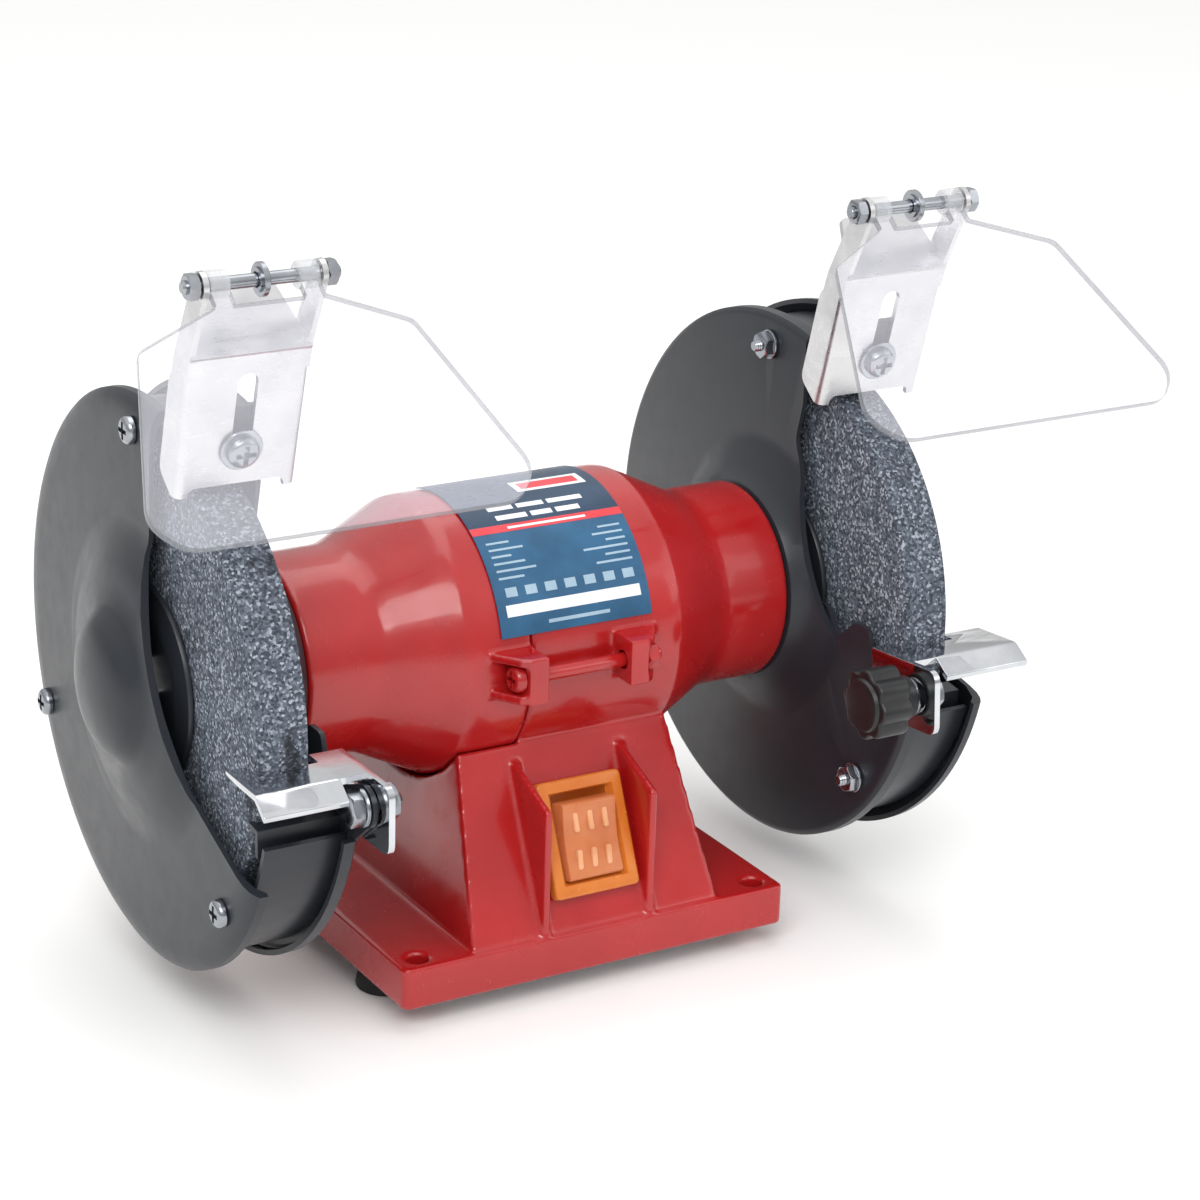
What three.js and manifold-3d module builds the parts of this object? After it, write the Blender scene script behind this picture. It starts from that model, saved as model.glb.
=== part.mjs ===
// Bench grinder: a twin-wheel grinder on a cast pedestal, built as an assembly of separate pieces.
// Millimetres. X runs along the spindle, -Y is the side the user stands on, +Z is up, and z = 0 is the bench.
import * as THREE from "three";
import { mergeVertices } from "three/addons/utils/BufferGeometryUtils.js";
import Module from "manifold-3d";

const wasm = await Module();
wasm.setup();

// ---- Driving dimensions ----
const spindleHeight = 105.4; // spindle axis above the bench
const fit = 0.3; // gap between pieces that touch
const running = 0.05; // radial clearance round a turning shaft
const coarse = 12; // sides of a small round piece
const middling = 18; // sides of a middling round piece
const fine = 32; // sides of a large round piece
const discSides = 36; // sides of a wheel or a guard

const wheel = { diameter: 150, width: 16, bore: 12.7, centre: 112, chamfer: 0.8 };
const spindle = { journal: 15, shoulder: 99.7, end: 134 };
const flange = { radius: 31, thickness: 3.4, rim: 6, dish: 1.2 };
const spindleNut = { flats: 19, height: 8 };

const motor = { radius: 45, halfLength: 38, cone: 23, neckRadius: 33, wall: 4, seam: -16.2 };
const bearing = { radius: 17.5, width: 11, inset: 14.7, seat: 2.3, endHole: 9 };
const stator = { inner: 25.2, halfLength: 22, windingIn: 2.3, windingOut: 3, windingLength: 12 };
const rotorGap = 0.6;
const tieBolt = { clear: 5.5, rise: 0.5, radius: 2.5, headRadius: 4.6, head: 3.6, nutFlats: 8, nut: 4 };
const lug = { left: -23.6, right: 19.8, rightInner: 12.8, reach: 11, height: 15, gusset: 9, web: 2.6 };

const base = { length: 139.4, depth: 127, thickness: 13.8, wall: 4, corner: 2.5 };
const mountingHole = { inset: 8, insetY: 7.2, radius: 3.5, boss: 7.5 };
const foot = { height: 8, radius: 10, topRadius: 8.3, inset: 11.7, insetY: 34.5, stem: 2.8, stemLength: 3 };
const pedestal = { insetX: 24.7, insetY: 1.2, topX: 38, topY: 36.9, topDrop: 27.5, wall: 4 };
const fin = { x: 19, thickness: 2.6, rise: 42.5, top: 57 };
const coverSheet = 1.2;
const capacitor = { radius: 14, length: 52, x: -8, y: 30, up: 6.2 };

const switchBox = { width: 30.6, height: 37.2, centre: 29.3, proud: 5, bodyWidth: 26, bodyHeight: 32, depth: 17 };
const rocker = { width: 19.4, halfLength: 12.4, proud: 2.2, clearance: 1.9, pivot: 3.2, turn: 8, thickness: 7 };
const gland = { x: -24, up: 22, bore: 3.6, radius: 6, collar: 9, length: 12 };
const label = { halfWidth: 27, from: 72, to: 165.5, thickness: 0.4 };

// The guard's sizes across are clearances from the wheel's rim.
const guard = { reach: 15, depth: 30, sheet: 1.6, rim: 5, coverRim: 3.5, coverSwell: 2.4, band: 10.5, dishRadius: 34.5, dishFlare: 46,
  shaftHole: 19 };
const bulge = { rise: 18.5, domeRadius: 22.5, domeFoot: 10.5, shoulderRadius: 41, shoulder: 6.2, footRadius: 49 };
const coverScrew = { beyond: 5, angles: [90, -24, -140], radius: 2, headRadius: 4.4, head: 2.6, nutFlats: 8, nut: 4 };
const crossbar = { beyond: 2, z: -20, drop: 8 };
const restBolt = { beyond: 17, z: -11.4, radius: 3, flats: 10, head: 4, washerRadius: 6, washer: 1.2 };
const rest = { sheet: 2, arms: 20, forward: 15.5, rise: 9.4, lipReach: 6.3, lipDrop: 4.8 };
const restFlange = { below: 11.6, forward: 12.4, slotForward: 8, slotLength: 22, slotWidth: 8.6 };
const restLip = { inset: 10.5, wheelGap: 2 };
const restArmEnd = 6.5; // radius of the inner guard's arm round the rest bolt
const knob = { radius: 11.6, faceRadius: 8.4, length: 18, lobes: 8, hub: 7 };

const bracket = { frontRise: 3.5, wingDrop: 1.5, lean: 15.1, beyond: 4.2, sheet: 1.8, flangeDepth: 12, foot: 117, length: 46.5,
  sparkGap: 3 };
const bracketHead = { halfWidth: 13.4, back: 1.4, up: 60, earRadius: 4.2 };
const bracketScrew = { along: 14, radius: 2.5, headRadius: 5, head: 3, washerRadius: 6.6, washer: 1, nutFlats: 8, nut: 4 };
const bracketSlot = { from: 8.5, to: 39, width: 6.4 };
const rod = { forward: 18.1, up: 67.1, radius: 2, halfLength: 24, nutFlats: 7, nut: 3.4 };
const shield = { tilt: 51.5, thickness: 2.4, barrel: 4.2, barrelInner: 10.8, outward: 2.2, topEdge: 8 };
const shieldOutline = { shoulder: 42, shoulderDrop: 20, side: 58.4, sideDrop: 74.5, foot: 49.5, length: 84.3 };
const shieldClip = { radius: 5, width: 3 };

// The two covers are cut at different places, the left wheel sits further out, and the right tool rest is
// set a little up at its front and held by a knob.
const sides = [
  { name: "left", sign: -1, coverCorner: 205.5, wheelShift: 3.5, restBeyond: 5, restTurn: 0, restRise: 0, knob: false },
  { name: "right", sign: 1, coverCorner: 193.4, wheelShift: 0, restBeyond: 10, restTurn: -5, restRise: 1.2, knob: true },
];

// ---- Sizes that follow ----
const wheelRadius = wheel.diameter / 2;
const wheelIn = wheel.centre - wheel.width / 2;
const wheelOut = wheel.centre + wheel.width / 2;
const guardIn = wheel.centre - guard.depth / 2;
const guardOut = wheel.centre + guard.depth / 2;
const guardRadius = wheelRadius + guard.reach;
const guardScrews = wheelRadius + coverScrew.beyond;
const bandRadius = wheelRadius + guard.band;
const neckEnd = guardIn - 10;
const bearingBack = neckEnd - bearing.inset;
const coneEnd = motor.halfLength + motor.cone;
const tieOffset = motor.radius + tieBolt.clear;
const lugReach = motor.radius + lug.reach;
const baseTop = foot.height + base.thickness;
const pedestalFoot = { x: base.length / 2 - pedestal.insetX, y: base.depth / 2 - pedestal.insetY };
const pedestalTop = spindleHeight - pedestal.topDrop;
const faceLean = Math.atan2(pedestalFoot.y - pedestal.topY, pedestalTop - baseTop);
const holeAt = { x: base.length / 2 - mountingHole.inset, y: base.depth / 2 - mountingHole.insetY };
const footAt = { x: base.length / 2 - foot.inset, y: base.depth / 2 - foot.insetY };
const bracketHalf = guard.depth / 2 + bracket.beyond;
const restBoltY = -(wheelRadius + restBolt.beyond);
const restTop = restBolt.z + rest.rise;
const restFront = -(wheelRadius + rest.forward);
const restBack = restFront + rest.arms;
const washerFace = guardIn - rest.sheet - 2 * fit;
const crossbarY = -(wheelRadius + crossbar.beyond);
const slotFront = restBoltY - restFlange.slotForward;

// ---- Materials ----
const finishes = {
  redEnamel: [0xb3262a, 0.35, 0.1],
  blackPaint: [0x3a3e44, 0.5, 0.2],
  zinc: [0xc9ccd0, 0.3, 0.9],
  steel: [0x9a9da2, 0.35, 0.9],
  castSteel: [0x6e7278, 0.5, 0.8],
  copper: [0xa8622e, 0.4, 0.8],
  abrasive: [0x5a6270, 0.95, 0],
  clearPlastic: [0xe8eef2, 0.1, 0],
  blackPlastic: [0x1b1c1f, 0.5, 0],
  amberPlastic: [0xd07a2c, 0.3, 0],
  rubber: [0x1c1c1c, 0.85, 0],
  printedFilm: [0x24567c, 0.35, 0],
};

function material(name) {
  const [color, roughness, metalness] = finishes[name];
  const made = new THREE.MeshStandardMaterial({ color, roughness, metalness });
  if (name === "clearPlastic") Object.assign(made, { transparent: true, opacity: 0.35 });
  return made;
}

// ---- Making solids ----
// A closed three.js geometry as a manifold-3d solid, without the empty triangles at a lathe's poles.
function solid(geometry) {
  const bare = geometry.index ? geometry.toNonIndexed() : geometry.clone();
  bare.deleteAttribute("normal");
  bare.deleteAttribute("uv");
  const merged = mergeVertices(bare, 1e-4);
  const index = merged.index.array;
  const kept = [];
  for (let i = 0; i < index.length; i += 3) {
    const [a, b, c] = [index[i], index[i + 1], index[i + 2]];
    if (a !== b && b !== c && c !== a) kept.push(a, b, c);
  }
  const vertProperties = merged.attributes.position.array;
  return new wasm.Manifold(new wasm.Mesh({ numProp: 3, vertProperties, triVerts: new Uint32Array(kept) }));
}

function toMesh(name, body, finish) {
  const made = body.getMesh();
  const geometry = new THREE.BufferGeometry();
  geometry.setAttribute("position", new THREE.BufferAttribute(new Float32Array(made.vertProperties), 3));
  geometry.setIndex(new THREE.BufferAttribute(new Uint32Array(made.triVerts), 1));
  geometry.computeVertexNormals();
  const mesh = new THREE.Mesh(geometry, material(finish));
  mesh.name = name;
  return mesh;
}

const join = (...bodies) => bodies.reduce((all, body) => all.add(body));
const cut = (body, ...tools) => tools.reduce((left, tool) => left.subtract(tool), body);
const radians = THREE.MathUtils.degToRad;
// The radius of a round hole's corners, so that its flat sides clear a shaft that turns in it.
const runningBore = (shaft, sides) => (shaft + running) / Math.cos(Math.PI / sides);
const polar = (radius, degrees) => [radius * Math.cos(radians(degrees)), radius * Math.sin(radians(degrees))];

// Points on a circle's arc, both ends included.
function arc(radius, from, to, steps, centre = [0, 0]) {
  return Array.from({ length: steps + 1 }, (_, i) => {
    const [u, v] = polar(radius, from + ((to - from) * i) / steps);
    return [centre[0] + u, centre[1] + v];
  });
}

const circle = (radius, sides = coarse, centre) => arc(radius, 0, 360, sides, centre).slice(0, -1);
const hexagon = (flats, centre) => circle(flats / Math.sqrt(3), 6, centre);

function rectangle(width, height, centre = [0, 0]) {
  const [u, v] = centre;
  const [w, h] = [width / 2, height / 2];
  return [[u - w, v - h], [u + w, v - h], [u + w, v + h], [u - w, v + h]];
}

// A slot with round ends between two points that lie level with each other or one above the other.
function slot(a, b, width) {
  const along = THREE.MathUtils.radToDeg(Math.atan2(b[1] - a[1], b[0] - a[0]));
  return [...arc(width / 2, along - 90, along + 90, 6, b), ...arc(width / 2, along + 90, along + 270, 6, a)];
}

// A polygon with each corner [u, v, radius] rounded, in a few steps, within half of its shorter side.
function rounded(corners, steps = 3) {
  const points = [];
  corners.forEach(([u, v, radius = 0], i) => {
    const at = new THREE.Vector2(u, v);
    if (!radius) return points.push([u, v]);
    const [before, after] = [corners.at(i - 1), corners[(i + 1) % corners.length]].map(([x, y]) =>
      new THREE.Vector2(x, y).sub(at),
    );
    const opening = Math.abs(before.angleTo(after));
    const reach = Math.min(radius / Math.tan(opening / 2), before.length() / 2, after.length() / 2);
    const [from, to] = [before.setLength(reach).add(at), after.setLength(reach).add(at)];
    const curve = new THREE.QuadraticBezierCurve(from, at, to);
    curve.getPoints(steps).forEach((p) => points.push([p.x, p.y]));
  });
  return points;
}

function extruded(points, depth, holes) {
  const shape = new THREE.Shape(points.map(([u, v]) => new THREE.Vector2(u, v)));
  shape.holes = holes.map((hole) => new THREE.Path(hole.map(([u, v]) => new THREE.Vector2(u, v))));
  return new THREE.ExtrudeGeometry(shape, { depth, bevelEnabled: false });
}

// A plate with its outline in Y and Z, from one X to another.
function plateX(points, from, to, holes = []) {
  const turn = new THREE.Matrix4().makeBasis(
    new THREE.Vector3(0, 1, 0), new THREE.Vector3(0, 0, 1), new THREE.Vector3(1, 0, 0));
  return solid(extruded(points, to - from, holes).applyMatrix4(turn).translate(from, 0, 0));
}

// A plate with its outline in X and Z, from one Y to another.
function plateY(points, from, to, holes = []) {
  return solid(extruded(points, to - from, holes).rotateX(Math.PI / 2).translate(0, to, 0));
}

// A plate with its outline in X and Y, from one Z to another.
function plateZ(points, from, to, holes = []) {
  return solid(extruded(points, to - from, holes).translate(0, 0, from));
}

// A solid of revolution about X. Its profile is [x, radius] pairs, closed, or starting and ending on the axis.
function turned(profile, sides = coarse) {
  const points = profile.map(([x, r]) => new THREE.Vector2(r, x));
  const ring = points[0].x > 0 || points.at(-1).x > 0;
  if (THREE.ShapeUtils.area(points) < 0) points.reverse();
  if (ring) points.push(points[0].clone());
  return solid(new THREE.LatheGeometry(points, sides).rotateZ(-Math.PI / 2));
}

const rodX = (radius, from, to, sides = coarse) => turned([[from, 0], [from, radius], [to, radius], [to, 0]], sides);
const tubeX = (inner, outer, from, to, sides = coarse) =>
  turned([[from, inner], [from, outer], [to, outer], [to, inner]], sides);

// A box whose top is another size than its foot.
function taperedBox(footX, footY, topX, topY, from, to) {
  const geometry = new THREE.BoxGeometry(2, 2, to - from).translate(0, 0, (from + to) / 2);
  const at = geometry.attributes.position;
  for (let i = 0; i < at.count; i += 1) {
    const top = at.getZ(i) > (from + to) / 2;
    at.setXY(i, at.getX(i) * (top ? topX : footX), at.getY(i) * (top ? topY : footY));
  }
  return solid(geometry);
}

// Moves a solid; a turn is in degrees about X and comes first.
function placed(body, x, y, z, turn = 0) {
  return body.rotate([turn, 0, 0]).translate([x, y, z]);
}

// ---- Motor and housing, with the spindle on the X axis ----
// The two ends of the motor casing: a cylinder, a cone and a neck that holds the bearing.
function casing(from) {
  const { radius, halfLength, wall, neckRadius } = motor;
  const seat = bearingBack + bearing.width + fit;
  const seatRadius = runningBore(bearing.radius, fine);
  const seatStart = bearingBack - bearing.seat;
  return turned([
    [from, radius - wall], [from, radius], [halfLength, radius], [coneEnd, neckRadius],
    [neckEnd - 1, neckRadius], [neckEnd, neckRadius - 1], [neckEnd, bearing.endHole], [seat, bearing.endHole],
    [seat, seatRadius], [seatStart, seatRadius], [seatStart, neckRadius - wall], [coneEnd, neckRadius - wall],
    [halfLength, radius - wall],
  ], fine);
}

// A lug on the front or the back of the casing between two X values, with a web above and below it that
// tapers from its face towards the end of the motor.
function lugOn(front, face, back, towards) {
  const side = front ? -1 : 1;
  const near = side * (motor.radius - motor.wall / 2);
  const far = side * lugReach;
  const [low, high] = [Math.min(face, back), Math.max(face, back)];
  const block = plateX(rectangle(Math.abs(far - near), lug.height, [(near + far) / 2, tieBolt.rise]), low, high);
  const webs = [-1, 1].map((up) => {
    const middle = tieBolt.rise + (up * (lug.height - lug.web)) / 2;
    const outline = [[face, near], [face, far], [face + towards * lug.gusset, near]];
    return plateZ(towards * side > 0 ? outline.reverse() : outline, middle - lug.web / 2, middle + lug.web / 2);
  });
  const hole = rodX(tieBolt.radius + fit, low - 1, high + 1).translate([0, side * tieOffset, tieBolt.rise]);
  return cut(join(block, ...webs), hole);
}

function leftEndBell() {
  const bell = casing(-motor.seam + fit / 2).mirror([1, 0, 0]);
  const seamSide = motor.seam - fit / 2;
  const lugs = [true, false].map((front) => lugOn(front, lug.left, seamSide, -1));
  return cut(join(bell, ...lugs), rodX(motor.radius - motor.wall, -motor.halfLength, 0, fine));
}

function baseHousing() {
  const drop = -spindleHeight;
  const seamSide = motor.seam + fit / 2;
  const { wall } = pedestal;
  const inset = base.wall;
  const plateOutline = rounded(rectangle(base.length, base.depth).map((corner) => [...corner, base.corner]));
  const plate = plateZ(plateOutline, drop + foot.height, drop + baseTop);
  const tower = taperedBox(
    pedestalFoot.x, pedestalFoot.y, pedestal.topX, pedestal.topY, drop + baseTop - 1, -pedestal.topDrop);
  const room = taperedBox(
    pedestalFoot.x - wall, pedestalFoot.y - wall, pedestal.topX - wall, pedestal.topY - wall,
    drop + baseTop - base.wall - 1, -pedestal.topDrop);
  const saddle = rodX(motor.radius + wall, -coneEnd, coneEnd, fine);
  const shell = join(tower, cut(plate, belowPlate(inset)), mountingBosses());
  const hollow = cut(shell, cut(room, saddle));
  const fins = [-1, 1].map((side) => switchFin(side * fin.x));
  const fullCasing = casing(seamSide);
  const lugs = [true, false].map((front) => lugOn(front, lug.right, lug.rightInner, 1));
  const forBell = rodX(motor.radius + fit, -coneEnd - 30, seamSide, fine);
  const forMotor = rodX(motor.radius - motor.wall, seamSide - 1, motor.halfLength, fine);
  const body = join(cut(join(hollow, ...fins), forBell), fullCasing, ...lugs);
  return cut(body, forMotor, mountingHoles(), switchOpening(), glandHole(), wireHole());
}

function belowPlate(inset) {
  const outline = rectangle(base.length - 2 * inset, base.depth - 2 * inset);
  return plateZ(outline, foot.height - spindleHeight - 1, baseTop - spindleHeight - base.wall);
}

const corners = [[-1, -1], [1, -1], [1, 1], [-1, 1]];

function mountingBosses() {
  const [from, to] = [foot.height - spindleHeight, baseTop - spindleHeight];
  const bosses = corners.map(([sx, sy]) =>
    plateZ(circle(mountingHole.boss, coarse, [sx * holeAt.x, sy * holeAt.y]), from, to));
  const limit = rounded(rectangle(base.length, base.depth).map((corner) => [...corner, base.corner]));
  return join(...bosses).intersect(plateZ(limit, from, to));
}

function mountingHoles() {
  return join(...corners.map(([sx, sy]) =>
    plateZ(circle(mountingHole.radius, coarse, [sx * holeAt.x, sy * holeAt.y]),
      -spindleHeight, baseTop - spindleHeight + 1)));
}

// A finger guard beside the switch: a fin from the base plate to high on the pedestal's front face.
function switchFin(x) {
  const foot = baseTop - spindleHeight - 1;
  const front = -pedestalFoot.y - 0.2;
  const topZ = baseTop - spindleHeight + fin.top * Math.cos(faceLean);
  const topY = -pedestalFoot.y + fin.top * Math.sin(faceLean);
  const outline = [[front, foot], [topY + 6, foot], [topY + 6, topZ], [topY, topZ], [front, baseTop - spindleHeight + fin.rise]];
  return plateX(outline, x - fin.thickness / 2, x + fin.thickness / 2);
}

// Puts a solid made on the pedestal's front face (outwards is -Y, up the face is +Z) in its place.
function onFace(body) {
  return placed(body, 0, -pedestalFoot.y, baseTop - spindleHeight, -THREE.MathUtils.radToDeg(faceLean));
}

function switchOpening() {
  const outline = rectangle(switchBox.bodyWidth + 2 * fit, switchBox.bodyHeight + 2 * fit, [0, switchBox.centre]);
  return onFace(plateY(outline, -1, switchBox.depth));
}

function glandAt(body) {
  return onFace(body).mirror([0, 1, 0]);
}

function glandHole() {
  return glandAt(plateY(circle(gland.radius + fit, coarse, [gland.x, gland.up]), -3, 12));
}

function wireHole() {
  return plateZ(circle(6, coarse, [0, 0]), -motor.radius - 6, -motor.radius + motor.wall + 3);
}

function bottomCover() {
  const size = (whole) => whole - 2 * base.wall - 2 * fit;
  const outline = rectangle(size(base.length), size(base.depth));
  const notches = corners.map(([sx, sy]) =>
    circle(mountingHole.boss + 2 * fit, coarse, [sx * holeAt.x, sy * holeAt.y]));
  const sheet = plateZ(outline, foot.height, foot.height + coverSheet,
    corners.map(([sx, sy]) => circle(foot.stem + fit, coarse, [sx * footAt.x, sy * footAt.y])));
  return cut(sheet, ...notches.map((notch) => plateZ(notch, foot.height - 1, foot.height + coverSheet + 1)));
}

function rubberFoot() {
  const profile = [
    [0, 0], [0, foot.radius - 1], [1, foot.radius], [foot.height - fit, foot.topRadius],
    [foot.height - fit, foot.stem], [foot.height + foot.stemLength, foot.stem], [foot.height + foot.stemLength, 0],
  ];
  return turned(profile).rotate([0, -90, 0]);
}

function switchHousing() {
  const { width, height, centre, proud, bodyWidth, bodyHeight, depth } = switchBox;
  const frame = rounded(rectangle(width, height, [0, centre]).map((corner) => [...corner, 1.5]));
  const pocket = rectangle(rocker.width + 2 * fit, 2 * (rocker.halfLength + rocker.clearance), [0, centre]);
  const outer = join(
    plateY(frame, -proud, -fit),
    plateY(rectangle(bodyWidth, bodyHeight, [0, centre]), -fit - 1, depth));
  return cut(outer, plateY(pocket, -proud - 1, depth - 3));
}

// The rocker's side view: two flat halves that meet in a shallow hollow, and a round back about the pivot.
function switchRocker() {
  const { width, halfLength, proud, pivot, turn, thickness } = rocker;
  const front = pivot + switchBox.proud + proud;
  const outline = [
    [-front, halfLength - 1], [-front + 1.6, 0], [-front, 1 - halfLength], [1 - front, -halfLength],
    [thickness - front, -halfLength], [0, -4], ...arc(4, -60, 60, 4), [0, 4],
    [thickness - front, halfLength], [1 - front, halfLength],
  ];
  return plateX(outline.map(([y, z]) => [y, z]), -width / 2, width / 2).rotate([turn, 0, 0]);
}

function cableGland() {
  const { bore, radius, collar, length } = gland;
  const profile = [
    [-8, bore], [-8, radius], [fit, radius], [fit, collar], [3.5, collar], [length, radius], [length, bore],
  ];
  return turned(profile).rotate([0, 0, -90]);
}

function ratingLabel() {
  const inner = motor.radius + fit;
  const steps = 18;
  const outline = [
    ...arc(inner + label.thickness, label.from, label.to, steps), ...arc(inner, label.to, label.from, steps)];
  return plateX(outline, -label.halfWidth, label.halfWidth);
}

function tieBoltBody() {
  const { radius, headRadius, head, nutFlats, nut } = tieBolt;
  const from = lug.left - fit;
  const to = lug.right + fit;
  return join(
    rodX(radius, from - 1, to + nut + 2), rodX(headRadius, from - head, from),
    plateX(hexagon(nutFlats), to, to + nut));
}

function statorCore() {
  return tubeX(stator.inner, motor.radius - motor.wall - 1, -stator.halfLength, stator.halfLength, fine);
}

function winding() {
  const from = stator.halfLength + fit;
  const outer = motor.radius - motor.wall - stator.windingOut;
  return tubeX(stator.inner + stator.windingIn, outer, from, from + stator.windingLength, middling);
}

function rotorCore() {
  return tubeX(spindle.journal / 2 + fit, stator.inner - rotorGap, -stator.halfLength, stator.halfLength, fine);
}

function ballBearing() {
  const bore = runningBore(spindle.journal / 2, middling);
  return tubeX(bore, bearing.radius, bearingBack, bearingBack + bearing.width, middling);
}

function spindleBody() {
  const seat = wheel.bore / 2 - fit / 2;
  const [left, right] = sides.map(({ wheelShift }) => [
    [spindle.shoulder - fit + wheelShift, spindle.journal / 2], [spindle.shoulder - fit + wheelShift, seat],
    [spindle.end - 1 + wheelShift, seat], [spindle.end + wheelShift, seat - 1], [spindle.end + wheelShift, 0],
  ]);
  return turned([...left.map(([x, r]) => [-x, r]).reverse(), ...right], middling);
}

function capacitorBody() {
  const { radius, length } = capacitor;
  return rodX(radius, -length / 2, length / 2);
}

// ---- One side, with the spindle on the X axis and the wheel towards +X ----
function grindingWheel() {
  const { chamfer } = wheel;
  return turned([
    [wheelIn, wheel.bore / 2 + fit / 2], [wheelIn, wheelRadius - chamfer], [wheelIn + chamfer, wheelRadius],
    [wheelOut - chamfer, wheelRadius], [wheelOut, wheelRadius - chamfer], [wheelOut, wheel.bore / 2 + fit / 2],
  ], discSides);
}

// A pressed flange that touches the wheel only with its rim; face is its X at the wheel, out points away from it.
function wheelFlange(face, out) {
  const { radius, thickness, rim, dish } = flange;
  const at = (offset) => face + out * (offset + fit);
  const bore = wheel.bore / 2 + fit / 2;
  return turned([
    [at(dish), bore], [at(dish), radius - rim], [at(0), radius - rim + 1], [at(0), radius],
    [at(thickness - 1), radius], [at(thickness), radius - rim], [at(thickness), bore],
  ], middling);
}

function nutOnSpindle() {
  const from = wheelOut + flange.thickness + 2 * fit;
  return plateX(hexagon(spindleNut.flats), from, from + spindleNut.height, [circle(wheel.bore / 2 + fit / 2)]);
}

// The front edge of the guard's inner disc, from the arm below to the top.
function innerEdge() {
  const reach = guardRadius + 2;
  return [[-40, 2], [-25, 34], [-17, 52], [-20.5, 64], [-20.5, reach]];
}

// The front edge of the outer cover, from its lower corner to the top.
function coverEdge(cornerAngle) {
  const corner = polar(guardRadius, cornerAngle);
  const inner = [corner[0] * 0.5 - 0.5, corner[1] * 0.62];
  return [corner, [inner[0], inner[1], 6], [-31, -2, 12], [-11.5, 43, 12], [-14, guardRadius + 2]];
}

// The whole disc behind a front edge that is given from its foot to its top.
function behindEdge(edge, sweepFrom) {
  const back = arc(guardRadius + 3, sweepFrom, 450 - 9, 20);
  return [...back, ...[...edge].reverse()];
}

function innerGuard() {
  const { sheet, rim, dishRadius, dishFlare, shaftHole } = guard;
  const radius = guardRadius;
  const neck = neckEnd + fit;
  const disc = turned([
    [neck, shaftHole], [neck, dishRadius - 2], [neck + 2, dishRadius], [guardIn, dishFlare], [guardIn, radius - 1.5],
    [guardIn + 1.5, radius], [guardIn + rim, radius], [guardIn + rim, radius - sheet],
    [guardIn + sheet, radius - sheet], [guardIn + sheet, dishFlare - 1], [neck + sheet + 2, dishRadius - sheet],
    [neck + sheet, dishRadius - sheet - 2], [neck + sheet, shaftHole],
  ], discSides);
  const lower = 180 + 16;
  const trimmed = disc.intersect(plateX(behindEdge(innerEdge(), lower), neck - 1, guardOut));
  const inside = guardOut - sheet - fit;
  const bandTop = 90 + THREE.MathUtils.radToDeg(Math.asin(20.5 / bandRadius));
  const ring = [...arc(bandRadius, lower, 360 + bandTop, 28), ...arc(bandRadius - sheet, 360 + bandTop, lower, 28)];
  const holes = join(...coverScrew.angles.map((angle) =>
    rodX(coverScrew.radius + fit, guardIn - 1, guardOut).translate([0, ...polar(guardScrews, angle)])));
  const front = plateX(rounded([
    [crossbarY, crossbar.z], [crossbarY, crossbar.z - crossbar.drop],
    [crossbarY + sheet, crossbar.z - crossbar.drop], [crossbarY + sheet, crossbar.z]]), guardIn + 0.5, inside);
  const body = join(trimmed, plateX(ring, guardIn + 0.5, inside), front, restArm(), shieldTab());
  const boltHole = rodX(restBolt.radius + fit, guardIn - 2, guardIn + 5).translate([0, restBoltY, restBolt.z]);
  return cut(body, holes, boltHole, tabHole());
}

// The arm of the inner disc that carries the tool rest's bolt: round at its end, low under the rest, with
// a hump behind it.
function restArm() {
  const outline = rounded([
    [restBoltY + 62, 6], [restBoltY + 52, 2], [restBoltY + 44, -7, 3], [restBoltY + 36, 1, 3],
    [restBoltY + 28, 1, 3], [restBoltY + 24, -14, 3],
    ...arc(restArmEnd, 75, 250, 7, [restBoltY, restBolt.z]), [restBoltY + 16, -33, 8], [restBoltY + 32, -50]]);
  return plateX(outline, guardIn, guardIn + guard.sheet);
}

// Where the shield bracket's front plate starts at its foot, as [y, z], just off the wheel's rim.
const bracketFoot = polar(wheelRadius + bracket.sparkGap, bracket.foot);

const rodAt = [bracketFoot[0] - rod.forward, bracketFoot[1] + rod.up]; // the shield rod's axis, as [y, z]

// Puts a solid made on the bracket's front plate (outwards is -Y, up the plate is +Z) in its place.
const onBracket = (body) => placed(body, wheel.centre, ...bracketFoot, bracket.lean);

// The upright tab on top of the band that the shield bracket is screwed to, and the shelf that joins them.
function shieldTab() {
  const { sheet } = guard;
  const width = 24;
  const back = bracket.sheet + fit;
  const upright = onBracket(plateY(rectangle(width, 22, [0, 16]), back, back + sheet));
  const low = onBracketPoint(back + sheet, 6);
  const shelf = plateX([[-18, bandRadius - 4.2], [-18, bandRadius - 2.2], [low[0] - 1.2, low[1] + 1], [low[0] - 1.2, low[1] - 1]],
    wheel.centre - width / 2, wheel.centre + width / 2);
  return join(upright, shelf);
}

// A point on the bracket's plate frame, as [y, z] from the spindle.
function onBracketPoint(inwards, up) {
  const turn = radians(bracket.lean);
  return [
    bracketFoot[0] + inwards * Math.cos(turn) - up * Math.sin(turn),
    bracketFoot[1] + inwards * Math.sin(turn) + up * Math.cos(turn),
  ];
}

function tabHole() {
  return onBracket(plateY(circle(bracketScrew.radius + fit, coarse, [0, bracketScrew.along]), 0.5, 8));
}

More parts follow.
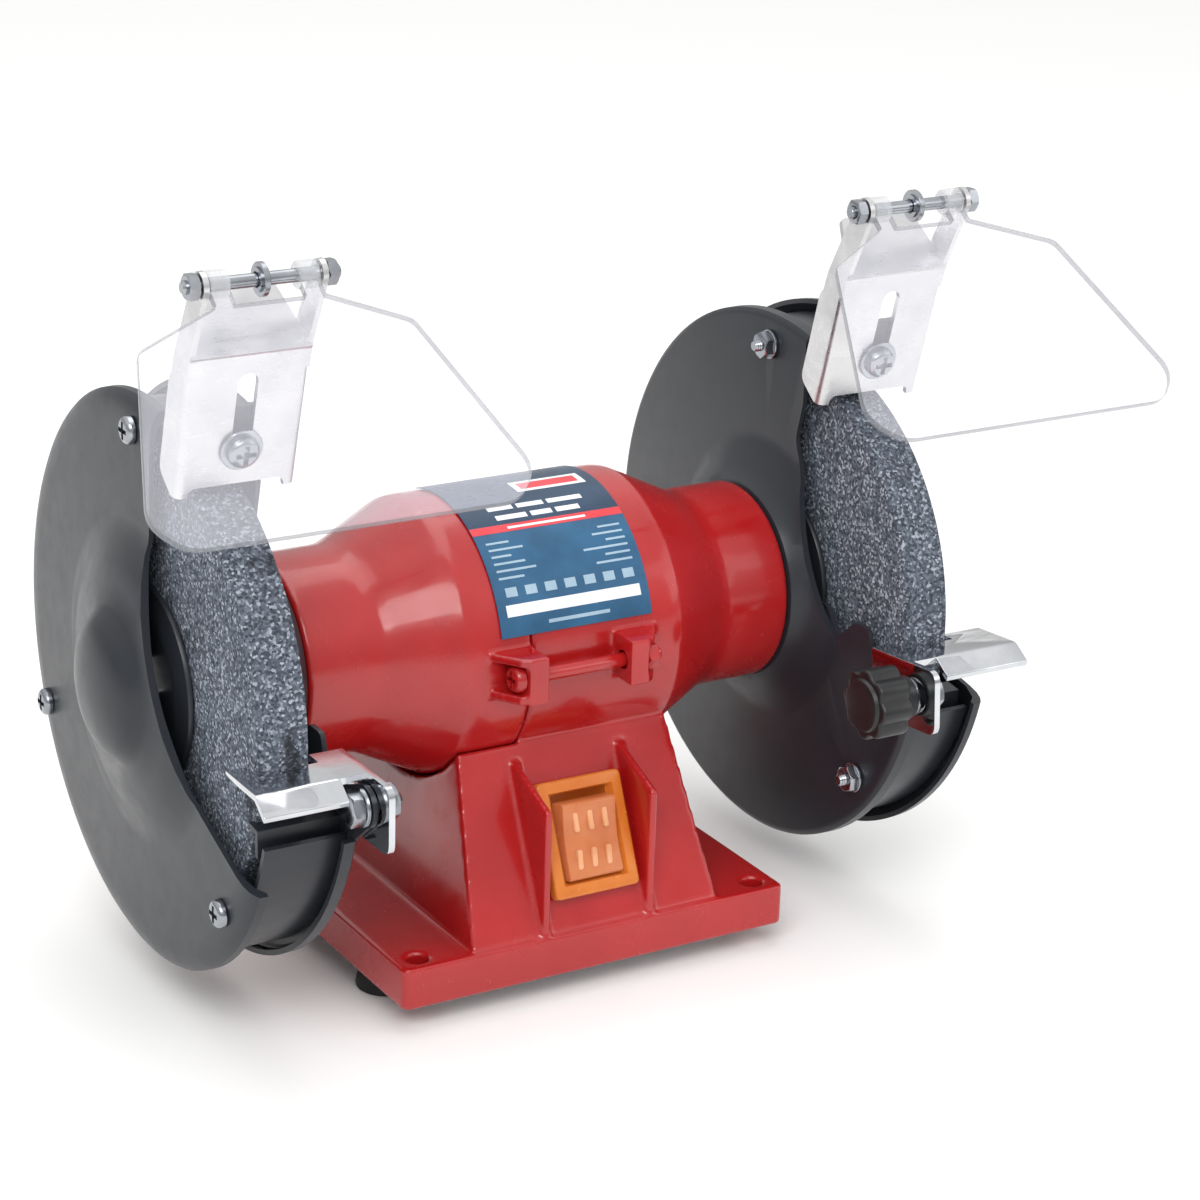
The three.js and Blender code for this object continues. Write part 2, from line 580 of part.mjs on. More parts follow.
function outerCover(cornerAngle) {
  const { sheet, coverRim: rim, coverSwell: swell } = guard;
  const radius = guardRadius;
  const { rise, domeRadius, domeFoot, shoulderRadius, shoulder, footRadius } = bulge;
  const out = (height) => guardOut + height;
  const dome = [0, 30, 58, 82].map((degrees) => {
    const [along, across] = polar(1, degrees);
    return [domeFoot + (rise - domeFoot) * along, domeRadius * across];
  });
  const slope = [
    [domeFoot - 0.6, domeRadius + 2], [shoulder, shoulderRadius], [swell + 1, footRadius - 3], [swell, footRadius],
    [swell, radius - 10]];
  const edge = [[swell * 0.6, radius - 4], [-0.5, radius], [-rim, radius], [-rim, radius - sheet]];
  const inside = [
    [-sheet + 0.3, radius - sheet - 3.5], [swell - sheet, radius - 10.5], [swell - sheet, footRadius - 2],
    [shoulder - sheet, shoulderRadius - 1.5], [domeFoot - sheet - 0.6, domeRadius],
    [rise - sheet - 2, domeRadius * 0.6], [rise - sheet, 0]];
  const profile = [...dome, ...slope, ...edge, ...inside];
  const whole = turned(profile.map(([x, r]) => [out(x), r]), discSides);
  const kept = plateX(behindEdge(coverEdge(cornerAngle), cornerAngle), guardOut - rim - 1, guardOut + rise + 1);
  const holes = coverScrew.angles.map((angle) =>
    rodX(coverScrew.radius + fit, guardOut - 8, guardOut + 5).translate([0, ...polar(guardScrews, angle)]));
  return cut(whole.intersect(kept), ...holes);
}

function coverScrewBody(angle) {
  const { radius, headRadius, head, nutFlats, nut } = coverScrew;
  const headAt = guardOut + guard.coverSwell + fit;
  const nutAt = guardIn - fit;
  const body = join(
    rodX(radius, nutAt - nut - 2.4, headAt + 1, 8),
    turned([[headAt, 0], [headAt, headRadius], [headAt + head * 0.6, headRadius * 0.85], [headAt + head, headRadius * 0.4],
      [headAt + head, 0]], 10),
    plateX(hexagon(nutFlats), nutAt - nut, nutAt));
  return body.translate([0, ...polar(guardScrews, angle)]);
}

function toolRest(wheelShift, restBeyond) {
  const { sheet, lipReach, lipDrop } = rest;
  const [front, back, top] = [restFront, restBack, restTop];
  const flangeOut = guardIn - fit;
  const flangeIn = flangeOut - sheet;
  const far = guardOut + restBeyond;
  const notch = wheelRadius + restLip.wheelGap;
  const [near, beyond] = [wheelIn + wheelShift - restLip.wheelGap, wheelOut + wheelShift + restLip.wheelGap];
  const plate = plateZ(
    [[flangeIn, front], [far, front], [far, back], [beyond, back], [beyond, -notch], [near, -notch], [near, back],
      [flangeIn, back]],
    top - sheet, top);
  const lipIn = flangeOut + restLip.inset - sheet;
  const lip = plateX([
    [front + 1, top], [front + 1, top - sheet], [front, top - sheet], [front - lipReach, top - lipDrop - sheet],
    [front - lipReach, top - lipDrop], [front, top]], lipIn, far);
  const { below, forward, slotLength, slotWidth } = restFlange;
  const [bottom, tip] = [restBolt.z - below, restBoltY - forward];
  const round = slotWidth / 2;
  const opening = slot(
    [slotFront + round, restBolt.z], [slotFront + slotLength - round, restBolt.z], slotWidth);
  const corners = [[back, top], [back, bottom, 3], [tip, bottom, 3], [tip, top - 1.5, 3]];
  return join(plate, lip, plateX(rounded(corners), flangeIn, flangeOut, [opening]));
}

function restBoltBody(held) {
  const { radius, flats, head, washerRadius, washer } = restBolt;
  const inner = guardIn + guard.sheet + fit;
  const body = join(
    rodX(radius, washerFace - washer - held, inner + washer),
    rodX(washerRadius, inner, inner + washer), plateX(hexagon(flats), inner + washer - 0.2, inner + washer + head));
  return body.translate([0, restBoltY, restBolt.z]);
}

function restWasher() {
  const { radius, washerRadius, washer } = restBolt;
  return tubeX(radius + fit, washerRadius, washerFace - washer, washerFace).translate([0, restBoltY, restBolt.z]);
}

// The plain nut that holds the left rest where the right one has its knob.
function restNut() {
  const from = washerFace - restBolt.washer - fit;
  const nut = plateX(hexagon(restBolt.flats), from - restBolt.head, from, [circle(restBolt.radius + fit)]);
  return nut.translate([0, restBoltY, restBolt.z]);
}

function restKnob() {
  const { radius, faceRadius, length, lobes, hub } = knob;
  const from = washerFace - restBolt.washer - fit;
  const valley = radius * 0.84;
  const outline = Array.from({ length: lobes * 4 }, (_, i) =>
    polar(i % 4 < 2 ? radius : valley, (i * 360) / (lobes * 4)));
  const body = join(
    plateX(outline, from - length + 2, from - 3), rodX(hub, from - 3.5, from),
    turned([[from - length, 0], [from - length, faceRadius], [from - length + 2.2, radius * 0.86],
      [from - length + 2.2, 0]], middling));
  const bore = rodX(restBolt.radius + fit, from - length + 3, from + 1);
  return cut(body, bore).translate([0, restBoltY, restBolt.z]);
}

// The shield hangs from its rod, made upright below it with -Y outwards, then tilted forwards.
function eyeShield() {
  const { thickness, barrel, barrelInner, outward, topEdge } = shield;
  const barrelOuter = bracketHalf - bracket.sheet - 2 * fit;
  const { shoulder, shoulderDrop, side, sideDrop, foot: footHalf, length } = shieldOutline;
  const half = [[shoulder, -shoulderDrop, 4], [side, -sideDrop, 9], [footHalf, -length, 9]];
  const mirrored = half.map(([u, v, r]) => [outward - u, v, r]).reverse();
  const outline = [[barrelOuter, -topEdge], ...half.map(([u, v, r]) => [outward + u, v, r]), ...mirrored,
    [-barrelOuter, -topEdge]];
  const sheet = plateY(rounded(outline), -thickness / 2, thickness / 2);
  const ears = [-1, 1].map((hand) => {
    const [from, to] = [barrelInner, barrelOuter].map((u) => hand * u).sort((a, b) => a - b);
    const strap = plateX([[-thickness / 2, 0], [-thickness / 2, -topEdge - 2], [thickness / 2, -topEdge - 2], [thickness / 2, 0]], from, to);
    return cut(join(strap, rodX(barrel, from, to)), rodX(runningBore(rod.radius, coarse), from - 1, to + 1));
  });
  return placed(join(sheet, ...ears), wheel.centre, ...rodAt, -shield.tilt);
}

function shieldBracket() {
  const { sheet, flangeDepth, length, frontRise, wingDrop } = bracket;
  const halfWidth = bracketHalf;
  const face = plateY(rectangle(2 * halfWidth, length - frontRise, [0, (length + frontRise) / 2]), 0, sheet,
    [slot([0, bracketSlot.from + bracketSlot.width / 2], [0, bracketSlot.to - bracketSlot.width / 2], bracketSlot.width)]);
  const wings = [-1, 1].map((hand) => {
    const [from, to] = [hand * halfWidth, hand * (halfWidth - sheet)].sort((a, b) => a - b);
    return plateX(rounded([[0, -wingDrop, 2], [flangeDepth, 3, 3], [flangeDepth, length - 12, 6], [sheet, length], [0, length]]), from, to);
  });
  const front = onBracket(join(face, ...wings));
  const bend = onBracketPoint(0, length);
  const { halfWidth: headHalf, back, up, earRadius } = bracketHead;
  const [backY, backZ] = [bracketFoot[0] + back, bracketFoot[1] + up];
  const rise = Math.hypot(backY - bend[0], backZ - bend[1]);
  const turn = -THREE.MathUtils.radToDeg(Math.atan2(backY - bend[0], backZ - bend[1]));
  const head = placed(
    plateY([[-halfWidth, -0.6], [halfWidth, -0.6], [headHalf, rise], [-headHalf, rise]], 0, sheet),
    wheel.centre, ...bend, turn);
  const ears = [-1, 1].map((hand) => {
    const [from, to] = [hand * halfWidth, hand * (halfWidth - sheet)].sort((a, b) => a - b);
    const outline = [
      ...arc(earRadius, 20, 190, 6, rodAt), onBracketPoint(0.1, length), onBracketPoint(0.1, length - 8),
      onBracketPoint(flangeDepth - 1, length - 14)];
    return plateX(outline, from + wheel.centre, to + wheel.centre);
  });
  const bore = rodX(rod.radius + fit, wheel.centre - halfWidth - 1, wheel.centre + halfWidth + 1).translate([0, ...rodAt]);
  return cut(join(front, head, ...ears), bore);
}

function bracketScrewBody() {
  const { along, radius, headRadius, head, washerRadius, washer, nutFlats, nut } = bracketScrew;
  const behind = bracket.sheet + guard.sheet + 2 * fit;
  const disc = (r, from, to, sides) => plateY(circle(r, sides, [0, along]), from, to);
  return onBracket(join(
    disc(radius, -1, behind + nut + 2, 8), disc(washerRadius, -fit - washer, -fit, coarse),
    disc(headRadius, -fit - washer - head, -fit - washer + 0.1, coarse),
    plateY(hexagon(nutFlats, [0, along]), behind, behind + nut)));
}

function shieldRod() {
  const { radius, halfLength, nutFlats, nut } = rod;
  return join(
    rodX(radius, -halfLength, halfLength),
    plateX(hexagon(nutFlats), bracketHalf + fit, bracketHalf + fit + nut),
  ).translate([wheel.centre, ...rodAt]);
}

function rodNut() {
  const from = -bracketHalf - fit - rod.nut;
  return plateX(hexagon(rod.nutFlats), from, from + rod.nut, [circle(rod.radius + fit / 2)])
    .translate([wheel.centre, ...rodAt]);
}

function clipOnRod() {
  const half = shieldClip.width / 2;
  const ring = tubeX(rod.radius + fit, shieldClip.radius, -half, half);
  return ring.translate([wheel.centre, ...rodAt]);
}

// ---- Assembly ----
function centrePieces() {
  const group = new THREE.Group();
  const add = (name, body, finish) => group.add(toMesh(name, body, finish));
  add("base_housing", baseHousing(), "redEnamel");
  add("left_end_bell", leftEndBell(), "redEnamel");
  add("bottom_cover", bottomCover().translate([0, 0, -spindleHeight]), "zinc");
  ["front_left", "front_right", "rear_right", "rear_left"].forEach((name, i) => {
    const [sx, sy] = corners[i];
    add("foot_" + name, rubberFoot().translate([sx * footAt.x, sy * footAt.y, -spindleHeight]), "rubber");
  });
  add("stator_core", statorCore(), "castSteel");
  add("winding_right", winding(), "copper");
  add("winding_left", winding().mirror([1, 0, 0]), "copper");
  add("rotor_core", rotorCore(), "castSteel");
  add("spindle", spindleBody(), "steel");
  add("bearing_right", ballBearing(), "steel");
  add("bearing_left", ballBearing().mirror([1, 0, 0]), "steel");
  add("capacitor", placed(capacitorBody(), capacitor.x, capacitor.y, baseTop + capacitor.up - spindleHeight), "zinc");
  add("switch_housing", onFace(switchHousing()), "amberPlastic");
  const rockerInPlace = switchRocker().translate([0, rocker.pivot, switchBox.centre]);
  add("switch_rocker", onFace(rockerInPlace), "amberPlastic");
  add("cable_gland", glandAt(cableGland().translate([gland.x, 0, gland.up])), "blackPlastic");
  [["front", -1], ["rear", 1]].forEach(([name, side]) =>
    add("through_bolt_" + name, tieBoltBody().translate([0, side * tieOffset, tieBolt.rise]), "redEnamel"));
  add("rating_label", ratingLabel(), "printedFilm");
  return group;
}

function sidePieces({ name, sign, coverCorner, wheelShift, restBeyond, restTurn, restRise, knob: hasKnob }) {
  const group = new THREE.Group();
  const add = (piece, body, finish) => group.add(toMesh(name + "_" + piece, body, finish));
  const restPlaced = (body) => body
    .translate([0, -restBoltY, -restBolt.z]).rotate([restTurn, 0, 0]).translate([0, restBoltY, restBolt.z + restRise]);
  add("inner_guard", innerGuard(), "blackPaint");
  add("outer_cover", outerCover(coverCorner), "blackPaint");
  coverScrew.angles.forEach((angle, i) => add("cover_screw_" + (i + 1), coverScrewBody(angle), "zinc"));
  add("wheel", grindingWheel().translate([wheelShift, 0, 0]), "abrasive");
  add("inner_flange", wheelFlange(wheelIn + wheelShift, -1), "blackPaint");
  add("outer_flange", wheelFlange(wheelOut + wheelShift, 1), "blackPaint");
  add("spindle_nut", nutOnSpindle().translate([wheelShift, 0, 0]), "zinc");
  add("tool_rest", restPlaced(toolRest(wheelShift, restBeyond)), "zinc");
  add("rest_bolt", restBoltBody(hasKnob ? knob.length - 4 : restBolt.head + 2), "zinc");
  add("rest_washer", restWasher(), "zinc");
  if (hasKnob) add("rest_knob", restKnob(), "blackPlastic");
  else add("rest_nut", restNut(), "zinc");
  add("eye_shield", eyeShield(), "clearPlastic");
  add("shield_bracket", shieldBracket(), "zinc");
  add("shield_rod", shieldRod(), "zinc");
  add("rod_nut", rodNut(), "zinc");
  add("bracket_screw", bracketScrewBody(), "zinc");
  add("shield_clip", clipOnRod(), "zinc");
  group.scale.x = sign;
  return group;
}

const grinder = new THREE.Group();
const assembly = new THREE.Group();
assembly.add(centrePieces(), ...sides.map(sidePieces));
assembly.position.z = spindleHeight;
grinder.add(assembly);

// The origin stands on the bench under the middle of the whole grinder.
const middle = new THREE.Box3().setFromObject(grinder).getCenter(new THREE.Vector3());
assembly.position.y = -middle.y;

export default grinder;
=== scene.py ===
import bpy
from math import atan2, cos, degrees, hypot, pi, radians, sin, sqrt
from mathutils import Matrix, Vector


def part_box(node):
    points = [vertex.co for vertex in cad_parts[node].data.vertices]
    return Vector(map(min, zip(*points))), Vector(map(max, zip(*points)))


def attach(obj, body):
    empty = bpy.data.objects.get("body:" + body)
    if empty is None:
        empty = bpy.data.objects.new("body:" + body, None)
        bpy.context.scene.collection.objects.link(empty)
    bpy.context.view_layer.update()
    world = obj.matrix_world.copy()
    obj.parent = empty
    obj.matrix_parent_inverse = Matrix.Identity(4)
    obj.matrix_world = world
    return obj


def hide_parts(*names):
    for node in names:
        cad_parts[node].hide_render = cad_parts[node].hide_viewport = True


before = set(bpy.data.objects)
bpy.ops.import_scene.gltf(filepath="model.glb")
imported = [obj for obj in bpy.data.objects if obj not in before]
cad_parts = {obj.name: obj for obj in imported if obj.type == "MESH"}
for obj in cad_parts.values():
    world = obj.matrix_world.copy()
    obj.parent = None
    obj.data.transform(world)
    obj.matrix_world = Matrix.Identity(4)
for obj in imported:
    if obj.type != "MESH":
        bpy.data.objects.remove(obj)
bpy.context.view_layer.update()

# pieces are drawn in millimetres from the middle of the spindle, then settled into the frame in metres
spindleLow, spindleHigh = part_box("spindle")
axisY = (spindleLow.y + spindleHigh.y) / 2
axisZ = (spindleLow.z + spindleHigh.z) / 2


def boxMm(node):
    low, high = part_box(node)
    shift = Vector((0, axisY, axisZ))
    return (low - shift) * 1000, (high - shift) * 1000


# ---- drawing helpers
def deselect():
    if bpy.context.object and bpy.context.object.mode != "OBJECT":
        bpy.ops.object.mode_set(mode="OBJECT")
    bpy.ops.object.select_all(action="DESELECT")


def pick(piece):
    deselect()
    piece.select_set(True)
    bpy.context.view_layer.objects.active = piece
    return piece


def editAll():
    bpy.ops.object.mode_set(mode="EDIT")
    bpy.ops.mesh.select_all(action="SELECT")


# the matrix goes into the mesh, so the piece stays at the origin
def transformed(piece, matrix):
    pick(piece)
    piece.matrix_world = matrix
    bpy.ops.object.transform_apply(location=True, rotation=True, scale=True)
    return piece


# one vertex is pushed along the points
def trace(name, points, closed=False):
    deselect()
    bpy.ops.mesh.primitive_plane_add(size=1, location=(0, 0, 0))
    piece = bpy.context.object
    piece.name = name
    bpy.ops.object.mode_set(mode="EDIT")
    bpy.ops.mesh.select_all(action="SELECT")
    bpy.ops.mesh.merge(type="CENTER")
    bpy.ops.transform.translate(value=points[0])
    for before, after in zip(points, points[1:]):
        step = tuple(b - a for a, b in zip(before, after))
        bpy.ops.mesh.extrude_vertices_move(TRANSFORM_OT_translate={"value": step})
    bpy.ops.mesh.select_all(action="SELECT")
    if closed:
        bpy.ops.mesh.edge_face_add()
    bpy.ops.object.mode_set(mode="OBJECT")
    return piece


def tidyNormals(piece):
    pick(piece)
    editAll()
    bpy.ops.mesh.remove_doubles(threshold=0.002)
    bpy.ops.mesh.normals_make_consistent(inside=False)
    bpy.ops.object.mode_set(mode="OBJECT")
    return piece


# profile points are (x, radius); the shape turns about the X axis
def turned(name, profile, steps=96):
    piece = trace(name, [(x, 0, r) for x, r in profile])
    editAll()
    bpy.ops.mesh.spin(steps=steps, angle=2 * pi, center=(0, 0, 0), axis=(1, 0, 0))
    bpy.ops.object.mode_set(mode="OBJECT")
    return tidyNormals(piece)


def dowel(name, radius, low, high, steps):
    return turned(name, [(low, 0), (low, radius), (high, radius), (high, 0)], steps)


# an outline on the plane across one axis, pushed from one value to another along it
def plate(name, outline, axis, start, end):
    lift = {
        "x": lambda u, v: (start, u, v),
        "y": lambda u, v: (u, start, v),
        "z": lambda u, v: (u, v, start)}[axis]
    piece = trace(name, [lift(u, v) for u, v in outline], closed=True)
    push = tuple((end - start) if letter == axis else 0 for letter in "xyz")
    editAll()
    bpy.ops.mesh.extrude_region_move(TRANSFORM_OT_translate={"value": push})
    bpy.ops.object.mode_set(mode="OBJECT")
    return tidyNormals(piece)


def applyModifier(piece, kind, **values):
    pick(piece)
    modifier = piece.modifiers.new(kind.title(), kind)
    for key, value in values.items():
        setattr(modifier, key, value)
    bpy.ops.object.modifier_apply(modifier=modifier.name)
    return piece


def carve(piece, cutter, operation="DIFFERENCE"):
    applyModifier(piece, "BOOLEAN", object=cutter, operation=operation, solver="EXACT")
    bpy.data.objects.remove(cutter)
    return piece


def soften(piece, width, segments, angle):
    return applyModifier(
        piece, "BEVEL", width=width, segments=segments, limit_method="ANGLE",
        angle_limit=radians(angle), miter_outer="MITER_ARC", harden_normals=False)


def joined(pieces, name):
    deselect()
    for piece in pieces:
        piece.select_set(True)
    bpy.context.view_layer.objects.active = pieces[0]
    bpy.ops.object.join()
    pieces[0].name = name
    return pieces[0]


# overlapping solids melt into one cast skin with soft edges and small fillets
def melted(pieces, name, voxel, rounds):
    piece = joined(pieces, name)
    applyModifier(piece, "REMESH", mode="VOXEL", voxel_size=voxel, adaptivity=0)
    applyModifier(piece, "SMOOTH", factor=0.5, iterations=rounds)
    return applyModifier(piece, "DECIMATE", ratio=casting["kept"])


# turned about the X axis in degrees, mirrored when scaleX is -1
def moved(piece, place, turn=0, scaleX=1):
    turning = Matrix.Rotation(radians(turn), 4, "X") @ Matrix.Diagonal((scaleX, 1, 1, 1))
    return transformed(piece, Matrix.Translation(place) @ turning)


# a finished piece goes to metres and its real place; a sign of -1 mirrors it to the left side
def settled(piece, body, nodes, finish, sign=1, smoothAngle=38):
    toMetres = Matrix.Diagonal((0.001 * sign, 0.001, 0.001, 1))
    transformed(piece, Matrix.Translation((0, axisY, axisZ)) @ toMetres)
    if sign < 0:
        editAll()
        bpy.ops.mesh.flip_normals()
        bpy.ops.object.mode_set(mode="OBJECT")
    bpy.ops.object.shade_smooth_by_angle(angle=radians(smoothAngle))
    if not piece.data.materials:
        piece.data.materials.append(finish)
    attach(piece, body)
    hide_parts(*nodes)
    return piece


def polar(radius, angle):
    return radius * cos(radians(angle)), radius * sin(radians(angle))


def arc(radius, start, end, steps, centre=(0, 0)):
    points = []
    for i in range(steps + 1):
        u, v = polar(radius, start + (end - start) * i / steps)
        points.append((centre[0] + u, centre[1] + v))
    return points


def circle(radius, sides, centre=(0, 0)):
    return arc(radius, 0, 360, sides, centre)[:-1]


def rectangle(width, height, centre=(0, 0)):
    u, v, w, h = *centre, width / 2, height / 2
    return [(u - w, v - h), (u + w, v - h), (u + w, v + h), (u - w, v + h)]


# corners are (u, v, radius)
def rounded(corners, steps=6):
    points = []
    for i, corner in enumerate(corners):
        u, v = corner[:2]
        radius = corner[2] if len(corner) > 2 else 0
        if not radius:
            points.append((u, v))
            continue
        here = Vector((u, v))
        before = Vector(corners[i - 1][:2]) - here
        after = Vector(corners[(i + 1) % len(corners)][:2]) - here
        opening = before.angle(after)
        slope = abs(sin(opening / 2) / cos(opening / 2))
        reach = min(radius / max(0.05, slope), before.length / 2.05, after.length / 2.05)
        a, b = here + before.normalized() * reach, here + after.normalized() * reach
        for k in range(steps + 1):
            t = k / steps
            p = a * (1 - t) ** 2 + here * 2 * t * (1 - t) + b * t ** 2
            points.append((p.x, p.y))
    return points


def roundSlot(a, b, width, steps=10):
    along = degrees(atan2(b[1] - a[1], b[0] - a[0]))
    far = arc(width / 2, along - 90, along + 90, steps, b)
    return far + arc(width / 2, along + 90, along + 270, steps, a)


# ---- materials
def linear(hexColor):
    values = [int(hexColor[i:i + 2], 16) / 255 for i in (1, 3, 5)]
    return [v / 12.92 if v <= 0.04045 else ((v + 0.055) / 1.055) ** 2.4 for v in values] + [1]


def addNode(tree, kind, **inputs):
    node = tree.nodes.new("ShaderNode" + kind)
    for key, value in inputs.items():
        name = key.replace("_", " ")
        if name in node.inputs:
            if hasattr(value, "is_output"):
                tree.links.new(value, node.inputs[name])
            else:
                node.inputs[name].default_value = value
        else:
            setattr(node, key, value)
    return node


def startMaterial(name, hexColor, roughness, metallic=0.0):
    made = bpy.data.materials.new(name)
    made.use_nodes = True
    tree = made.node_tree
    shader = tree.nodes["Principled BSDF"]
    shader.inputs["Base Color"].default_value = linear(hexColor)
    shader.inputs["Roughness"].default_value = roughness
    shader.inputs["Metallic"].default_value = metallic
    place = addNode(tree, "TexCoord").outputs["Object"]
    return made, tree, shader, place


def noiseAt(tree, place, sizeMm, detail=3, roughness=0.55):
    noise = addNode(tree, "TexNoise", Vector=place, Scale=1000 / sizeMm, Detail=detail, Roughness=roughness)
    return noise.outputs["Fac"]


def remap(tree, value, low, high, toLow, toHigh):
    node = addNode(tree, "MapRange", Value=value)
    for key, number in zip(("From Min", "From Max", "To Min", "To Max"), (low, high, toLow, toHigh)):
        node.inputs[key].default_value = number
    return node.outputs["Result"]


def blended(tree, amount, first, second):
    node = addNode(tree, "Mix", data_type="RGBA")
    tree.links.new(amount, node.inputs[0])
    for index, color in ((6, first), (7, second)):
        if isinstance(color, str):
            node.inputs[index].default_value = linear(color)
        else:
            tree.links.new(color, node.inputs[index])
    return node.outputs[2]


# colour and roughness wander between two values
def vary(tree, shader, amount, first, second):
    tree.links.new(blended(tree, amount, first, second), shader.inputs["Base Color"])


def varyGloss(tree, shader, value, low, high, toLow, toHigh):
    tree.links.new(remap(tree, value, low, high, toLow, toHigh), shader.inputs["Roughness"])


def raised(tree, shader, height, strength, distanceMm, under=None):
    bump = addNode(tree, "Bump", Height=height, Strength=strength, Distance=distanceMm / 1000)
    if under:
        tree.links.new(under.outputs["Normal"], bump.inputs["Normal"])
    tree.links.new(bump.outputs["Normal"], shader.inputs["Normal"])
    return bump


# gloss red enamel sprayed on a die casting: faint orange peel, a little depth variation
def redEnamel():
    made, tree, shader, place = startMaterial("redEnamel", "#A8161A", 0.2)
    cloud = noiseAt(tree, place, 38, 4)
    vary(tree, shader, remap(tree, cloud, 0.35, 0.65, 0, 1), "#A01416", "#AE1B1C")
    varyGloss(tree, shader, noiseAt(tree, place, 9, 4), 0.3, 0.7, 0.16, 0.3)
    under = raised(tree, shader, noiseAt(tree, place, 11, 2), 0.12, 0.8)
    raised(tree, shader, noiseAt(tree, place, 1.6, 2), 0.05, 0.2, under)
    shader.inputs["Coat Weight"].default_value = 0.35
    shader.inputs["Coat Roughness"].default_value = 0.08
    return made


# satin black powder coat on pressed steel
def blackPaint():
    made, tree, shader, place = startMaterial("satinBlackPaint", "#24272C", 0.33)
    cloud = remap(tree, noiseAt(tree, place, 30, 4), 0.3, 0.7, 0, 1)
    vary(tree, shader, cloud, "#23262B", "#272A30")
    varyGloss(tree, shader, noiseAt(tree, place, 6, 5), 0.3, 0.7, 0.3, 0.37)
    raised(tree, shader, noiseAt(tree, place, 0.7, 3), 0.1, 0.06)
    shader.inputs["Specular IOR Level"].default_value = 0.38
    return made


# bright zinc plate, lightly streaked by rolling
def brightZinc(name, hexLow, hexHigh, low, high):
    made, tree, shader, place = startMaterial(name, hexLow, low, 1.0)
    stretched = addNode(tree, "Mapping", Vector=place, Scale=(0.25, 1, 1)).outputs["Vector"]
    streaks = noiseAt(tree, stretched, 3, 2)
    varyGloss(tree, shader, streaks, 0.3, 0.7, low, high)
    cloud = remap(tree, noiseAt(tree, place, 14, 3), 0.35, 0.65, 0, 1)
    vary(tree, shader, cloud, hexLow, hexHigh)
    raised(tree, shader, streaks, 0.03, 0.05)
    return made


# turned steel with fine rings round the X axis
def turnedSteel():
    made, tree, shader, place = startMaterial("turnedSteel", "#A9ABAF", 0.28, 1.0)
    squeezed = addNode(tree, "Mapping", Vector=place, Scale=(8, 0.3, 0.3)).outputs["Vector"]
    rings = noiseAt(tree, squeezed, 3, 2)
    varyGloss(tree, shader, rings, 0.3, 0.7, 0.2, 0.4)
    raised(tree, shader, rings, 0.1, 0.05)
    return made


# vitrified aluminium oxide: fine dark and light grains in a blue grey bond, with dark smears from use
def abrasiveStone(name, smear):
    made, tree, shader, place = startMaterial(name, "#565D69", 0.9)
    grains = addNode(tree, "TexVoronoi", Vector=place, Scale=1000 / 0.8)
    each = addNode(tree, "SeparateColor", Color=grains.outputs["Color"])
    tone = addNode(tree, "ValToRGB", Fac=each.outputs[0])
    stops = tone.color_ramp.elements
    stops[0].color, stops[1].color = linear("#343A44"), linear("#A3AAB5")
    stops[0].position, stops[1].position = 0.1, 0.98
    for position, color in ((0.35, "#4A515C"), (0.75, "#666E7A")):
        stops.new(position).color = linear(color)
    soot = remap(tree, noiseAt(tree, place, 2.4, 3), 0.56, 0.72, 0, 0.5)
    color = blended(tree, soot, tone.outputs["Color"], "#262A32")
    stretched = addNode(tree, "Mapping", Vector=place, Scale=(1, 1.4, 0.6)).outputs["Vector"]
    worn = remap(tree, noiseAt(tree, stretched, 13, 3, 0.7), 0.6, 0.66, 0, smear)
    vary(tree, shader, worn, color, "#16181C")
    under = raised(tree, shader, grains.outputs["Distance"], 0.7, 0.35)
    raised(tree, shader, noiseAt(tree, place, 0.6, 4), 0.5, 0.3, under)
    return made


# clear moulded sheet with a slight milky haze; a darker copy of it paints the shade along the cut edges
def clearPlastic(name, hexLow, hexHigh, film):
    made, tree, shader, place = startMaterial(name, hexLow, 0.08)
    cloud = remap(tree, noiseAt(tree, place, 26, 3), 0.3, 0.7, 0, 1)
    vary(tree, shader, cloud, hexLow, hexHigh)
    varyGloss(tree, shader, noiseAt(tree, place, 12, 5), 0.4, 0.7, 0.05, 0.12)
    shader.inputs["Alpha"].default_value = film
    raised(tree, shader, noiseAt(tree, place, 25, 2), 0.04, 0.3)
    return made


def plainPlastic(name, hexLow, hexHigh, roughness, sizeMm=0.8, strength=0.15):
    made, tree, shader, place = startMaterial(name, hexLow, roughness)
    cloud = remap(tree, noiseAt(tree, place, 12, 3), 0.35, 0.65, 0, 1)
    vary(tree, shader, cloud, hexLow, hexHigh)
    varyGloss(tree, shader, noiseAt(tree, place, 4, 4), 0.3, 0.7, roughness * 0.85, roughness * 1.15)
    raised(tree, shader, noiseAt(tree, place, sizeMm, 3), strength, 0.06)
    return made, shader


# amber switch plastic that lets light through, with a faint painted glow: emission in the lighter amber
# stands in for the light it passes
def amberPlastic(name, hexLow, hexHigh, through, glow):
    made, shader = plainPlastic(name, hexLow, hexHigh, 0.24, 6, 0.02)
    shader.inputs["Transmission Weight"].default_value = through
    shader.inputs["Subsurface Weight"].default_value = 0.35
    shader.inputs["Subsurface Radius"].default_value = (0.006, 0.002, 0.0008)
    # painted glow: the plastic gives off a little light of its own, in the lighter amber
    shader.inputs["Emission Color"].default_value = linear(hexHigh)
    shader.inputs["Emission Strength"].default_value = glow
    return made


def laminations():
    made, tree, shader, place = startMaterial("ironLaminations", "#5A5C60", 0.5, 0.9)
    sliced = addNode(tree, "Mapping", Vector=place, Scale=(1, 0.01, 0.01)).outputs["Vector"]
    raised(tree, shader, noiseAt(tree, sliced, 0.5, 1), 0.5, 0.2)
    return made


def copperWire():
    made, tree, shader, place = startMaterial("enamelledCopper", "#A4582A", 0.35, 0.8)
    raised(tree, shader, noiseAt(tree, place, 0.9, 2), 0.6, 0.4)
    return made


